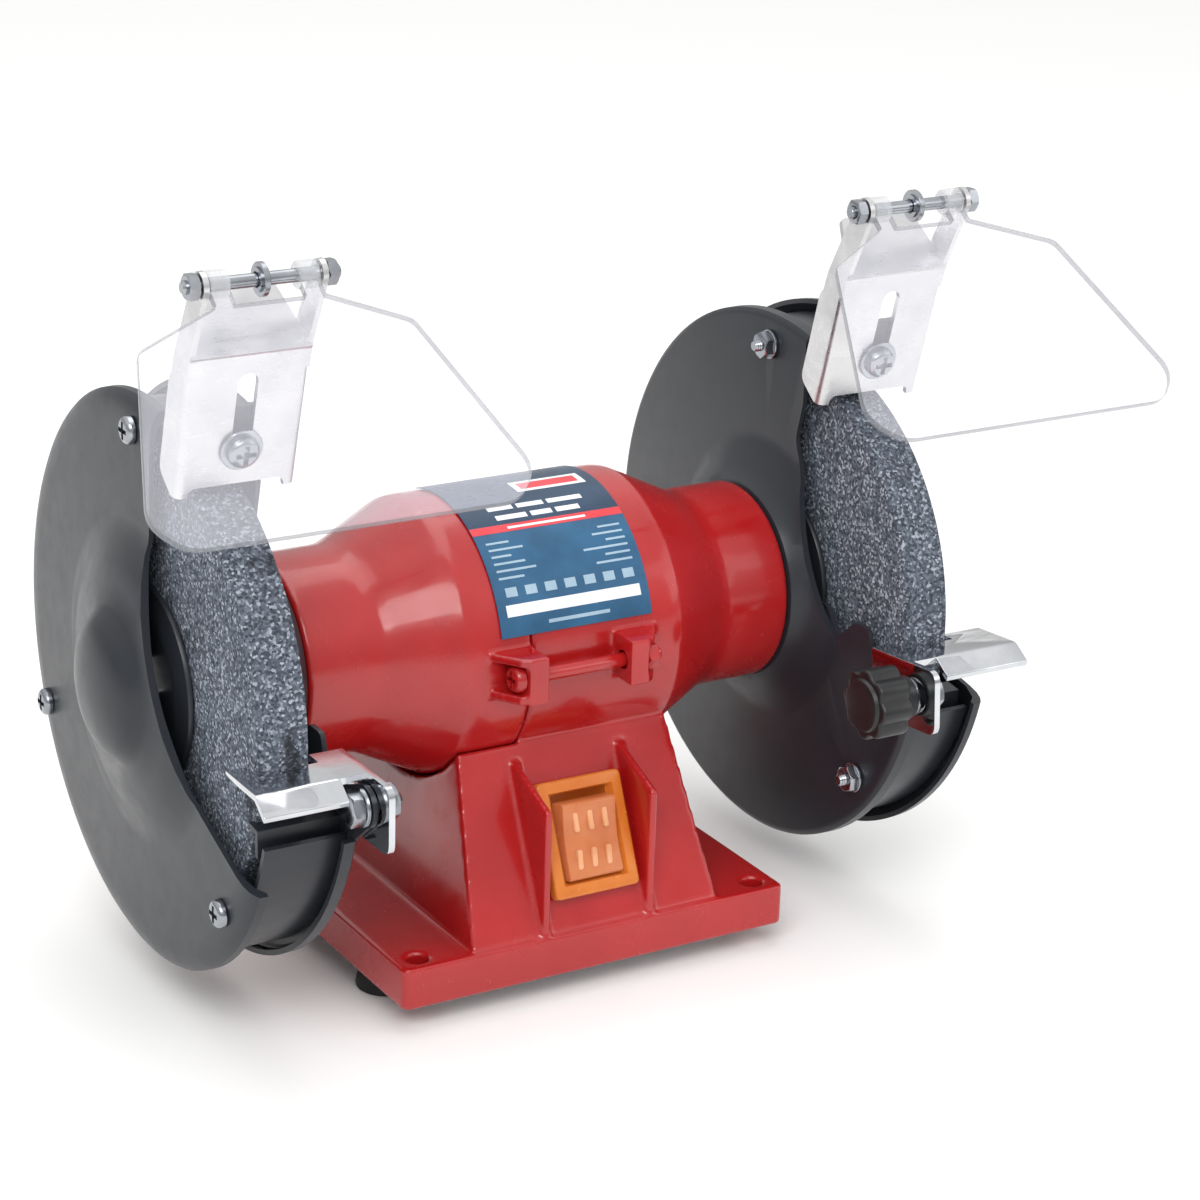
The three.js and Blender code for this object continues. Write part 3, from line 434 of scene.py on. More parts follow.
paint = {
    "red": redEnamel(),
    "black": blackPaint(),
    "zinc": brightZinc("brightZinc", "#C4C4C6", "#D2D1D2", 0.24, 0.36),
    "polished": brightZinc("polishedZinc", "#C3C5C9", "#D0D2D5", 0.06, 0.13),
    "hardware": brightZinc("hardwareZinc", "#8D9197", "#A6A9AE", 0.16, 0.28),
    "steel": turnedSteel(),
    "stone": abrasiveStone("abrasiveStone", 0),
    "usedStone": abrasiveStone("usedAbrasiveStone", 0.75),
    "clear": clearPlastic("hazyClearPlastic", "#D6D6DF", "#E0E0E8", 0.19),
    # painted shade: a darker, denser copy of the clear sheet for its cut edges
    "clearEdge": clearPlastic("clearPlasticEdge", "#6E7278", "#868A90", 0.62),
    "clearKnuckle": clearPlastic("clearPlasticKnuckle", "#C6C8CC", "#D6D8DB", 0.36),
    "knob": plainPlastic("blackKnobPlastic", "#0F1012", "#161719", 0.4)[0],
    "gland": plainPlastic("blackGlandPlastic", "#141517", "#1C1D1F", 0.5)[0],
    "rubber": plainPlastic("feetRubber", "#121212", "#1B1B1B", 0.8, 1.2, 0.3)[0],
    "amberFrame": amberPlastic("amberFramePlastic", "#C96F26", "#D17C32", 0.1, 0.1),
    "amberKey": amberPlastic("amberKeyPlastic", "#BE6C40", "#C97C4E", 0.15, 0.14),
    # painted highlight: the bars get a lighter amber than the key, standing in for the light caught on their
    # raised tops
    "amberBar": amberPlastic("amberBarPlastic", "#CF8F62", "#DFA67C", 0.1, 0.12),
    "iron": laminations(),
    "copper": copperWire(),
    "labelBlue": plainPlastic("printedBlueFilm", "#1D4E70", "#255B80", 0.32, 3, 0.03)[0],
    "labelNavy": plainPlastic("printedNavyInk", "#15324C", "#1A3A56", 0.3, 3, 0.03)[0],
    "labelWhite": plainPlastic("printedWhiteInk", "#D9DEE2", "#E6EAED", 0.35, 3, 0.03)[0],
    "labelRed": plainPlastic("printedRedInk", "#D0333C", "#DA4049", 0.35, 3, 0.03)[0],
    "labelPale": plainPlastic("printedPaleInk", "#8FA9BB", "#9DB4C4", 0.35, 3, 0.03)[0],
}
print("materials ready")

# ---- small hardware, each drawn along +X from the face it sits on
def panHead(name, radius, height):
    profile = [(0, 0), (0, radius), (height * 0.35, radius)]
    for a in (20, 40, 60, 80):
        rise, narrow = 0.35 + 0.65 * sin(radians(a)), 0.55 + 0.45 * cos(radians(a))
        profile.append((height * rise, radius * narrow))
    piece = turned(name, profile + [(height, radius * 0.4), (height, 0)], 40)
    for width, tall in ((radius * 0.32, radius * 1.25), (radius * 1.25, radius * 0.32)):
        carve(piece, plate("cut", rectangle(width, tall), "x", height * 0.45, height + 1))
    return piece


def hexNut(name, flats, height, bore=0, turn=0):
    outline = [polar(flats / sqrt(3), turn + 60 * i) for i in range(6)]
    piece = plate(name, outline, "x", 0, height)
    edge = flats / sqrt(3)
    trim = turned("trim", [
        (-0.01, 0), (-0.01, flats / 2 * 0.96), (height * 0.14, edge + 0.05), (height * 0.86, edge + 0.05),
        (height + 0.01, flats / 2 * 0.96), (height + 0.01, 0)], 48)
    carve(piece, trim, "INTERSECT")
    if bore:
        carve(piece, dowel("bore", bore, -1, height + 1, 32))
    return soften(piece, 0.15, 2, 30)


# a shank with a chamfered end and a few cut threads near it
def shank(name, radius, start, end, threads=0, pitch=1.0):
    points = [(start, 0), (start, radius)]
    x = end - 0.6 - threads * pitch
    for i in range(threads):
        points += [(x, radius), (x + pitch * 0.5, radius * 0.86)]
        x += pitch
    points += [(end - 0.6, radius), (end, radius - 0.5), (end, 0)]
    return turned(name, points, 28)


def plainWasher(name, bore, radius, thickness):
    t, edge = thickness, radius - 0.2
    profile = [(0, bore), (0, edge), (0.2, radius), (t - 0.2, radius), (t, edge), (t, bore), (0, bore)]
    return turned(name, profile, 48)


# ---- casting
casting = {
    "radius": 45, "half": 38, "coneEnd": 61, "neck": 33, "neckEnd": 87, "seam": -16.2, "gap": 0.35,
    "plateLength": 139.4, "plateDepth": 127, "plateThick": 13.8, "corner": 2.5,
    "pedestalFoot": (45, 62.3), "pedestalTop": (38, 36.9), "topDrop": 27.5,
    "finX": 19, "finThick": 2.6, "finRise": 42.5, "finTop": 57, "holeRadius": 3.6, "hole": (61.7, 56.3),
    "wall": 3.7, "opening": (26.8, 32.8), "openingRise": 29.3, "gland": (-24, 22), "glandHole": 6.4,
    "voxel": 0.8, "bellVoxel": 0.7, "rounds": 5, "kept": 0.42,
}
boltOffset, boltRise, boltHoleRadius = casting["radius"] + 5.5, 0.5, 3.1
lugs = {"left": -23.6, "right": 19.8, "rightInner": 12.8, "reach": 56, "tall": 15, "gusset": 10, "web": 2.8}
underside = boxMm("base_housing")[0].z
plateTop = underside + casting["plateThick"]
pedestalTopZ = -casting["topDrop"]
faceLean = degrees(atan2(
    casting["pedestalFoot"][1] - casting["pedestalTop"][1], pedestalTopZ - plateTop))


# from the switch face's own plane (outwards is -Y, up the face is +Z) to its place
def onFace(piece):
    return moved(piece, (0, -casting["pedestalFoot"][1], plateTop), -faceLean)


# the same place on the rear face
def turnedBack(piece):
    return tidyNormals(transformed(piece, Matrix.Diagonal((1, -1, 1, 1))))


def casingProfile(start):
    wide, half, neck = casting["radius"], casting["half"], casting["neck"]
    cone, end = casting["coneEnd"], casting["neckEnd"]
    return [
        (start, 0), (start, wide - 0.6), (start + 0.6, wide), (half - 3, wide), (half, wide - 0.35),
        (half + 2.5, wide - 1.5), (cone - 3, neck + 1.9), (cone, neck + 0.7), (cone + 3, neck + 0.1),
        (cone + 6, neck), (end - 1.2, neck), (end - 0.3, neck - 0.5), (end, neck - 1.4), (end, 9),
        (end - 6, 9), (end - 6, 0)]


def clampLug(side, face, back, towards):
    near, far = casting["radius"] - 3, lugs["reach"]
    low, high = min(face, back), max(face, back)
    middle = (side * (near + far) / 2, boltRise)
    block = plate("lug", rectangle(far - near, lugs["tall"], middle), "x", low, high)
    webs = []
    for up in (-1, 1):
        level = boltRise + up * (lugs["tall"] - lugs["web"]) / 2
        outline = [
            (face - towards, side * near), (face - towards, side * (far - 0.6)),
            (face + towards * 2, side * (far - 1.5)), (face + towards * lugs["gusset"], side * near)]
        webs.append(plate("web", outline, "z", level - lugs["web"] / 2, level + lugs["web"] / 2))
    return [block] + webs


def boltHole(piece, low, high):
    for side in (-1, 1):
        drill = dowel("drill", boltHoleRadius, low, high, 24)
        carve(piece, moved(drill, (0, side * boltOffset, boltRise)))
    return piece


def makeHousing():
    c = casting
    length, depth = c["plateLength"], c["plateDepth"]
    outline = rounded([(*corner, c["corner"]) for corner in rectangle(length, depth)], 5)
    base = plate("base", outline, "z", underside, plateTop)
    inside = rectangle(length - 2 * c["wall"], depth - 2 * c["wall"])
    carve(base, plate("recess", inside, "z", underside - 1, underside + 2))
    for sx in (-1, 1):
        for sy in (-1, 1):
            hole = circle(c["holeRadius"], 32, (sx * c["hole"][0], sy * c["hole"][1]))
            carve(base, plate("hole", hole, "z", underside - 2, plateTop + 2))
    deselect()
    bpy.ops.mesh.primitive_cube_add(size=2, location=(0, 0, (plateTop - 1 + pedestalTopZ) / 2))
    tower = bpy.context.object
    half = (pedestalTopZ - plateTop + 1) / 2
    editAll()
    bpy.ops.transform.resize(value=(*c["pedestalFoot"], half))
    bpy.ops.object.mode_set(mode="OBJECT")
    for vertex in tower.data.vertices:
        vertex.select = vertex.co.z > 0
    for face in tower.data.polygons:
        face.select = face.normal.z > 0.5
    for edge in tower.data.edges:
        edge.select = all(tower.data.vertices[v].co.z > 0 for v in edge.vertices)
    bpy.ops.object.mode_set(mode="EDIT")
    ratio = [top / foot for top, foot in zip(c["pedestalTop"], c["pedestalFoot"])]
    bpy.ops.transform.resize(value=(*ratio, 1))
    bpy.ops.object.mode_set(mode="OBJECT")
    pick(tower)
    bpy.ops.object.transform_apply(location=True, rotation=True, scale=True)
    opening = rectangle(*c["opening"], (0, c["openingRise"]))
    carve(tower, onFace(plate("opening", opening, "y", -3, 18)))
    carve(tower, dowel("saddle", c["radius"] + 0.4, -c["coneEnd"] - 30, c["seam"] + 0.2, 128))
    glandHole = circle(c["glandHole"], 28, c["gland"])
    carve(tower, turnedBack(onFace(plate("glandHole", glandHole, "y", -3, 14))))
    fins = []
    lean = radians(faceLean)
    topY, topZ = -c["pedestalFoot"][1] + c["finTop"] * sin(lean), plateTop + c["finTop"] * cos(lean)
    front, foot = -c["pedestalFoot"][1] - 0.2, plateTop - 2
    shape = [
        (front, foot), (topY + 6, foot), (topY + 6, topZ), (topY, topZ), (front, plateTop + c["finRise"])]
    for side in (-1, 1):
        x = side * c["finX"]
        fins.append(plate("fin", shape, "x", x - c["finThick"] / 2, x + c["finThick"] / 2))
    casing = turned("casing", casingProfile(c["seam"] + c["gap"] / 2), 128)
    ears = [part for side in (-1, 1) for part in clampLug(side, lugs["right"], lugs["rightInner"], 1)]
    piece = melted([casing, base, tower] + fins + ears, "motorHousing", c["voxel"], c["rounds"])
    return boltHole(piece, lugs["rightInner"] - 3, lugs["right"] + 16)


def makeBell():
    c = casting
    bell = turned("bell", [(-x, r) for x, r in casingProfile(-c["seam"] + c["gap"] / 2)], 128)
    ears = [part for side in (-1, 1) for part in clampLug(side, lugs["left"], c["seam"] - c["gap"] / 2, -1)]
    piece = melted([bell] + ears, "endBell", c["bellVoxel"], c["rounds"])
    return boltHole(piece, lugs["left"] - 16, c["seam"] + 3)


housing = settled(makeHousing(), "frame", ["base_housing"], paint["red"], smoothAngle=60)
print("housing ready", len(housing.data.polygons))
bell = settled(makeBell(), "frame", ["left_end_bell"], paint["red"], smoothAngle=60)
print("end bell ready", len(bell.data.polygons))


def makeClampBolt(side, name):
    start, end = lugs["left"] - 0.3, lugs["right"] + 0.3
    head = moved(panHead("head", 4.4, 3.4), (start, 0, 0), 0, -1)
    nut = moved(hexNut("nut", 8, 4), (end, 0, 0))
    stem = shank("stem", 2.3, start - 0.5, end + 6, 2)
    piece = joined([stem, tidyNormals(head), nut], name)
    return moved(piece, (0, side * boltOffset, boltRise))


for name, side in (("front", -1), ("rear", 1)):
    bolt = makeClampBolt(side, "clampBolt" + name.title())
    settled(bolt, "frame", ["through_bolt_" + name], paint["red"])

# ---- switch
switch = {
    "width": 30.6, "height": 37.2, "centre": 29.3, "proud": 4.6, "keyWidth": 19.4, "keyHalf": 12.4,
    "keyProud": 7.4, "pivot": 3.2, "turn": 8, "barWidth": 1.9, "barHeight": 6.4, "barStep": 5.3,
}


def makeSwitchFrame():
    w, h, mid = switch["width"], switch["height"], switch["centre"]
    rim = plate("rim", rounded([(*p, 2) for p in rectangle(w, h, (0, mid))], 4), "y", -switch["proud"], -0.3)
    pocket = rectangle(switch["keyWidth"] + 0.8, 2 * (switch["keyHalf"] + 1.9), (0, mid))
    soften(rim, 0.9, 3, 50)
    inner = plate("inner", rectangle(26, 32, (0, mid)), "y", -1, 16)
    carve(rim, inner, "UNION")
    step = plate("step", rectangle(24.4, 30.4, (0, 0)), "y", -1, 2.4)
    for vertex in step.data.vertices:
        if vertex.co.y > 0:
            vertex.co.x *= 0.85
            vertex.co.z *= 0.9
    carve(rim, moved(step, (0, -switch["proud"], mid)))
    carve(rim, plate("pocket", rounded([(*p, 0.8) for p in pocket], 3), "y", -switch["proud"] - 1, 14))
    rim.name = "switchFrame"
    return onFace(rim)


def makeSwitchKey():
    half, front = switch["keyHalf"], switch["pivot"] + switch["keyProud"]
    outline = [
        (-front, half - 1), (-front + 1.0, half * 0.5), (-front + 1.5, 0), (-front + 1.0, -half * 0.5),
        (-front, 1 - half), (1 - front, -half), (7 - front, -half), (0, -4),
        *arc(4, -60, 60, 8), (0, 4), (7 - front, half), (1 - front, half)]
    w = switch["keyWidth"]
    key = soften(plate("key", outline, "x", -w / 2, w / 2), 0.5, 2, 30)
    key.data.materials.append(paint["amberKey"])
    bars = []
    for row, tilt in ((1, 4.8), (-1, -4.8)):
        for column in (-1, 0, 1):
            outline = rounded([(*p, 0.9) for p in rectangle(switch["barWidth"], switch["barHeight"])], 5)
            bar = soften(plate("bar", outline, "y", -0.75, 1), 0.45, 3, 50)
            # the lighter amber paints the highlight on each raised bar
            bar.data.materials.append(paint["amberBar"])
            bars.append(moved(bar, (column * switch["barStep"], -front + 0.75, row * half * 0.48), -tilt))
    piece = joined([key] + bars, "switchKey")
    moved(piece, (0, 0, 0), switch["turn"])
    moved(piece, (0, switch["pivot"], switch["centre"]))
    return onFace(piece)


settled(makeSwitchFrame(), "frame", ["switch_housing"], paint["amberFrame"])
settled(makeSwitchKey(), "rocker", ["switch_rocker"], paint["amberKey"])
print("switch ready")

# ---- rating label, with plain bars and blocks where a plate has its print
label = {"half": 27, "low": 165.3, "high": 72.2, "radius": 45.36, "thick": 0.3}


def curvedPatch(name, x0, x1, t0, t1, lift, thick, steps):
    start, end = (label["low"] + (label["high"] - label["low"]) * t for t in (t0, t1))
    r = label["radius"] + lift
    piece = trace(name, [(x0, *polar(r, start)), (x1, *polar(r, start))])
    editAll()
    # spin counts the other way, so the angle is start less end
    bpy.ops.mesh.spin(steps=steps, angle=radians(start - end), center=(0, 0, 0), axis=(1, 0, 0))
    bpy.ops.object.mode_set(mode="OBJECT")
    applyModifier(piece, "SOLIDIFY", thickness=thick, offset=0)
    return tidyNormals(piece)


def makeLabel():
    half = label["half"]
    sheet = curvedPatch("ratingPlate", -half, half, 0, 1, label["thick"] / 2, label["thick"], 64)
    marks = [
        ("labelNavy", -half, half, 0.505, 1), ("labelRed", -half, half, 0.465, 0.505),
        ("labelPale", -10, 12, 0.035, 0.05), ("labelWhite", -24, 24, 0.085, 0.135)]
    for row in range(6):
        low = 0.245 + row * 0.033
        marks.append(("labelPale", -24, -24 + (9, 14, 11, 7, 12, 8)[row], low, low + 0.01))
        marks.append(("labelPale", 24 - (13, 9, 16, 7, 11, 8)[row], 24, low, low + 0.01))
    for column in range(7):
        marks.append(("labelPale", -23 + column * 7, -19 + column * 7, 0.168, 0.208))
    marks.append(("labelWhite", -14, 14, 0.478, 0.49))
    for low, blocks in ((0.53, ((-16, -5), (-3.5, 4), (5.5, 14))), (0.59, ((-17, -8), (-6.5, 3), (4.5, 17)))):
        marks += [("labelWhite", a, b, low, low + 0.028) for a, b in blocks]
    marks += [("labelWhite", -2, 23, 0.7, 0.8), ("labelRed", 0, 21, 0.72, 0.78)]
    parts = [sheet]
    sheet.data.materials.append(paint["labelBlue"])
    for i, (ink, x0, x1, t0, t1) in enumerate(marks):
        lift, steps = label["thick"] + 0.03 + i * 0.002, max(4, round((t1 - t0) * 64))
        part = curvedPatch("mark", x0, x1, t0, t1, lift, 0.04, steps)
        part.data.materials.append(paint[ink])
        parts.append(part)
    return joined(parts, "ratingPlate")


settled(makeLabel(), "frame", ["rating_label"], paint["labelBlue"])
print("label ready")

# ---- feet, gland and what stays as it is
footTall = 8


def makeFoot():
    tall = footTall
    profile = [
        (0, 0), (0, 3), (0.8, 3.4), (0.8, 6), (0, 6.6), (0, 9.2), (0.3, 9.8), (1, 10), (3.2, 9.6),
        (tall - 0.9, 8.7), (tall - 0.3, 8.3), (tall - 0.3, 2.8), (tall + 3, 2.6), (tall + 3, 0)]
    return transformed(turned("foot", profile, 64), Matrix.Rotation(radians(-90), 4, "Y"))


for corner in ("front_left", "front_right", "rear_right", "rear_left"):
    low, high = boxMm("foot_" + corner)
    foot = moved(makeFoot(), ((low.x + high.x) / 2, (low.y + high.y) / 2, low.z))
    foot.name = "rubberFoot_" + corner
    settled(foot, "frame", ["foot_" + corner], paint["rubber"])


def makeGland():
    profile = [(-8, 3.6), (-8, 6), (0.3, 6), (0.3, 8.8), (0.8, 9), (3, 9), (3.5, 8.6), (3.6, 7.2)]
    for i in range(4):
        x, r = 4 + i * 1.9, 7 - i * 0.3
        profile += [(x, r), (x + 1.1, r), (x + 1.2, r - 1.1), (x + 1.7, r - 1.1)]
    profile += [(12, 5.6), (12, 3.6), (-8, 3.6)]
    piece = transformed(turned("cableGland", profile, 48), Matrix.Rotation(radians(-90), 4, "Z"))
    across, up = casting["gland"]
    return turnedBack(onFace(moved(piece, (across, 0, up))))


settled(makeGland(), "frame", ["cable_gland"], paint["gland"])

# inner parts that stay as the CAD has them, and their finish
keptFinish = {
    "bottom_cover": "zinc", "stator_core": "iron", "rotor_core": "iron", "winding_left": "copper",
    "winding_right": "copper", "spindle": "steel", "bearing_left": "steel", "bearing_right": "steel",
    "capacitor": "zinc", "left_spindle_nut": "zinc", "right_spindle_nut": "zinc",
}
for node, finish in keptFinish.items():
    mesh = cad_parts[node].data
    mesh.materials.clear()
    mesh.materials.append(paint[finish])
print("feet, gland and inner parts ready")

# ---- guards and wheels, drawn for the side towards +X
guard = {
    "inner": 97, "outer": 127, "radius": 90, "sheet": 1.6, "band": 85.5, "dish": 34.5, "flare": 47,
    "neck": 87.3, "hole": 19, "rim": 5, "coverRim": 3.5, "swell": 2.4, "screws": (90, -24, -140),
    "screwCircle": 80, "screwHole": 2.3, "steps": 144,
}
bulge = {"rise": 18.5, "dome": 22.5, "domeFoot": 10.5, "shoulder": 41, "shoulderRise": 6.2, "foot": 49}
wheelSize = {"radius": 75, "width": 16, "centre": 112, "bore": 6.5}
restBolt = {"y": -92, "z": -11.4}
coverCorner = {"left": 205.5, "right": 193.4}


def behind(edge, sweepFrom):
    return arc(guard["radius"] + 6, sweepFrom, 441, 60) + edge[::-1]


def smoothBend(points, radius):
    return rounded([points[0]] + [(*p, radius) for p in points[1:-1]] + [points[-1]], 7)


# holes for the cover screws through one sheet
def screwHoles(piece, low, high):
    for angle in guard["screws"]:
        drill = dowel("drill", guard["screwHole"], low, high, 20)
        carve(piece, moved(drill, (0, *polar(guard["screwCircle"], angle))))
    return piece


def makeInnerGuard():
    g = guard
    s, neck, inner, wide = g["sheet"], g["neck"], g["inner"], g["radius"]
    dish, flare, lip = g["dish"], g["flare"], g["inner"] + g["rim"]
    profile = [
        (neck, g["hole"]), (neck, dish - 3), (neck + 0.5, dish - 1.4), (neck + 2, dish - 0.2),
        (neck + 5, dish + 3), (inner - 2.4, flare - 4.5), (inner - 0.8, flare - 1.6), (inner, flare + 2),
        (inner, wide - 2.4), (inner + 0.5, wide - 1), (inner + 1.4, wide), (lip, wide + 0.1), (lip, wide - s),
        (inner + s + 0.6, wide - s), (inner + s, wide - s - 1), (inner + s, flare + 2),
        (inner - 0.8 + s, flare - 2), (neck + 5 + s, dish + 2), (neck + 2 + s, dish - 1.6),
        (neck + s, dish - 3.4), (neck + s, g["hole"]), (neck, g["hole"])]
    disc = turned("disc", profile, g["steps"])
    # the cut front edge, from the rest arm up to the bracket
    edge = smoothBend([
        (-60, -50), (-47.5, -12), (-40, 2), (-25, 34), (-17.2, 52), (-20.5, 65), (-20.5, wide + 4)], 9)
    edge = [p for p in edge if p[1] > -13]
    carve(disc, plate("keep", behind(edge, 196), "x", neck - 2, g["outer"]), "INTERSECT")
    arm = rounded([
        (-30, 0), (-40, 2, 4), (-48, -7, 3), (-56, 1, 3), (-64, 1, 3), (-68, -14, 4),
        *arc(6.5, 75, 250, 14, (restBolt["y"], restBolt["z"])), (-76, -33, 9), (-60, -50)], 6)
    carve(disc, plate("arm", arm, "x", inner, inner + s), "UNION")
    lowBand, highBand = 196.5, 360 + 90 + degrees(atan2(20.5, sqrt(g["band"] ** 2 - 20.5 ** 2)))
    start, inside = inner + s - 0.2, g["outer"] - s - 0.3
    ring = arc(g["band"], lowBand, highBand, 120) + arc(g["band"] - s, highBand, lowBand, 120)
    band = plate("band", ring, "x", start, inside)
    bend = [(-77, -20), (-77.2, -28.6), (-75.4, -28.6), (-75.4, -21.4), (-71, -20.4), (-71, -19.2)]
    front = plate("front", bend, "x", start, inside)
    tab = onBracket(plate("tab", rounded([(*p, 1.5) for p in rectangle(24, 22, (0, 16))], 4), "y", 2.1, 3.7))
    tabY, tabZ = bracketPoint(3.9, 6)
    ledge = [(-18, g["band"] - 4.2), (-18, g["band"] - 2.2), (tabY - 1.2, tabZ + 1), (tabY - 1.2, tabZ - 1)]
    shelf = plate("shelf", ledge, "x", 100, 124)
    piece = screwHoles(joined([disc, band, front, tab, shelf], "innerGuard"), inner - 1, inner + 4)
    drill = dowel("drill", 3.3, inner - 2, inner + 4, 24)
    return carve(piece, moved(drill, (0, restBolt["y"], restBolt["z"])))


def makeOuterCover(corner):
    g, b = guard, bulge
    s, wide, out, swell = g["sheet"], g["radius"], g["outer"], g["swell"]
    rise, dome, domeFoot, foot = b["rise"], b["dome"], b["domeFoot"], b["foot"]
    shoulder, shoulderRise = b["shoulder"], b["shoulderRise"]
    top = []
    for a in range(0, 80, 8):
        top.append((domeFoot + (rise - domeFoot) * cos(radians(a)), dome * sin(radians(a))))
    top += [
        (domeFoot + 0.6, dome + 0.9), (domeFoot - 0.8, dome + 3), (shoulderRise + 2, 33),
        (shoulderRise, shoulder - 1.6), (shoulderRise - 1.4, shoulder + 1.6), (swell + 1.4, foot - 3),
        (swell + 0.3, foot), (swell, foot + 3), (swell, wide - 10), (swell * 0.85, wide - 6),
        (swell * 0.5, wide - 3), (-0.1, wide - 0.8), (-0.9, wide - 0.1), (-g["coverRim"], wide)]
    profile = [(out + x, r) for x, r in top]
    inside = [
        (out - g["coverRim"], wide - s), (out - s * 0.7, wide - s - 2.5), (out + swell - s, wide - 10.4),
        (out + swell - s, foot + 2), (out + shoulderRise - s - 1, shoulder - 1),
        (out + domeFoot - s - 0.6, dome + 0.2), (out + rise - s - 2.4, dome * 0.6), (out + rise - s, 0)]
    cover = turned("outerCover", profile + inside, g["steps"])
    y, z = polar(wide, corner)
    # the cut front edge, from the lower corner over the middle to the top
    edge = smoothBend([
        polar(wide + 6, corner), (y * 0.5 - 0.5, z * 0.62), (-31, -2), (-11.5, 43), (-14, wide + 8)], 16)
    carve(cover, plate("keep", behind(edge, corner), "x", out - 8, out + 24), "INTERSECT")
    return screwHoles(cover, out - 6, out + 6)


def makeCoverScrew(angle):
    g = guard
    headAt, nutAt = g["outer"] + g["swell"] + 0.3, g["inner"] - 0.3
    head = moved(panHead("head", 4.4, 2.6), (headAt, 0, 0))
    nut = moved(hexNut("nut", 8, 4, turn=angle), (nutAt, 0, 0), 0, -1)
    flange = moved(plainWasher("flange", 2.1, 4.9, 0.9), (nutAt, 0, 0), 0, -1)
    stem = moved(shank("stem", 2, -headAt - 1, -nutAt + 6.4, 5, 0.8), (0, 0, 0), 0, -1)
    piece = joined([tidyNormals(stem), head, tidyNormals(nut), tidyNormals(flange)], "coverScrew")
    return moved(piece, (0, *polar(g["screwCircle"], angle)))


def makeWheel():
    w = wheelSize
    a, b, wide = w["centre"] - w["width"] / 2, w["centre"] + w["width"] / 2, w["radius"]
    profile = [
        (a, w["bore"]), (a, 16), (a, wide - 1), (a + 0.3, wide - 0.3), (a + 1, wide), (b - 1, wide),
        (b - 0.3, wide - 0.3), (b, wide - 1), (b, 16), (b, w["bore"]), (a, w["bore"])]
    return turned("grindingWheel", profile, 160)


def makeFlange(face, out):
    bore = wheelSize["bore"]
    profile = [
        (1.5, bore), (1.5, 24), (0.3, 26), (0.3, 30.4), (0.8, 31), (1.6, 31), (2.2, 30.6), (3.0, 26),
        (3.5, 24.4), (3.7, 22), (3.7, bore), (1.5, bore)]
    return turned("flange", [(face + out * x, r) for x, r in profile], 96)


# ---- shield bracket and its rod
bracket = {
    "lean": 15.1, "half": 19.2, "sheet": 1.8, "depth": 12, "length": 46.5, "frontRise": 2.2, "drop": 0.8,
    "slot": (8.5, 39, 6.4), "footAngle": 117, "gap": 3, "headHalf": 13.4, "head": (1.4, 60),
    "earRadius": 4.2, "screwAlong": 14, "rod": (-18.1, 67.1),
}
bracketFoot = polar(wheelSize["radius"] + bracket["gap"], bracket["footAngle"])
rodAt = (bracketFoot[0] + bracket["rod"][0], bracketFoot[1] + bracket["rod"][1])
middle = wheelSize["centre"]


# from the bracket's own plane to its leaning place
def onBracket(piece):
    return moved(piece, (middle, *bracketFoot), bracket["lean"])


def bracketPoint(inwards, up):
    turn = radians(bracket["lean"])
    y, z = bracketFoot
    return (y + inwards * cos(turn) - up * sin(turn), z + inwards * sin(turn) + up * cos(turn))


def makeBracket():
    b = bracket
    h, s, d, top = b["half"], b["sheet"], b["depth"], b["length"]
    channel = rounded([
        (-h, d), (-h, 0, 3), (h, 0, 3), (h, d), (h - s, d), (h - s, s, 1.4), (s - h, s, 1.4), (s - h, d)], 6)
    body = plate("body", channel, "z", -b["drop"], top)
    side = rounded([
        (-1, -b["drop"]), (2, -b["drop"] - 0.5), (d, 3, 4), (d, top - 12, 6), (s + 1, top + 0.5),
        (-1, top + 0.5)], 6)
    carve(body, plate("side", side, "x", -h - 2, h + 2), "INTERSECT")
    lift = rounded([
        (-h + 4, -4), (h - 4, -4), (h - 4, b["frontRise"], 2.5), (-h + 4, b["frontRise"], 2.5)], 5)
    carve(body, plate("lift", lift, "y", -1, s + 1))
    low, high, width = b["slot"]
    slot = roundSlot((0, low + width / 2), (0, high - width / 2), width, 12)
    carve(body, plate("slot", slot, "y", -2, s + 2))
    onBracket(body)
    bend = bracketPoint(0, top)
    back = (bracketFoot[0] + b["head"][0], bracketFoot[1] + b["head"][1])
    rise = hypot(back[0] - bend[0], back[1] - bend[1])
    turn = -degrees(atan2(back[0] - bend[0], back[1] - bend[1]))
    crown = b["headHalf"]
    outline = rounded([(-h + 0.3, -0.8), (h - 0.3, -0.8), (crown, rise, 2), (-crown, rise, 2)], 5)
    head = plate("head", outline, "y", 0, s)
    moved(head, (middle, *bend), turn)
    parts = [head]
    for hand in (-1, 1):
        corners = ((0.1, top), (0.4, top - 8), (d - 1, top - 14), (d - 1.5, top - 4))
        outline = arc(b["earRadius"], 10, 195, 18, rodAt) + [bracketPoint(*corner) for corner in corners]
        a, c = sorted((hand * (h - 0.05), hand * (h - s + 0.05)))
        parts.append(plate("ear", outline, "x", a + middle, c + middle))
    for part in parts:
        carve(body, part, "UNION")
    bore = dowel("bore", 2.3, middle - h - 2, middle + h + 2, 28)
    carve(body, moved(bore, (0, *rodAt)))
    body.name = "shieldBracket"
    return body


def makeBracketScrew():
    b = bracket
    behindSheet = b["sheet"] + guard["sheet"] + 0.6
    parts = [
        moved(panHead("head", 5, 3), (1.3, 0, 0)), moved(plainWasher("washer", 2.7, 6.6, 1), (0.3, 0, 0)),
        shank("stem", 2.5, 0, 2), moved(shank("tail", 2.5, 0, behindSheet + 6, 3), (0, 0, 0), 0, -1),
        moved(hexNut("nut", 8, 4), (-behindSheet, 0, 0), 0, -1)]
    piece = joined([tidyNormals(part) for part in parts], "bracketScrew")
    turning = Matrix.Rotation(radians(-90), 4, "Z")
    return onBracket(transformed(piece, Matrix.Translation((0, 0, b["screwAlong"])) @ turning))


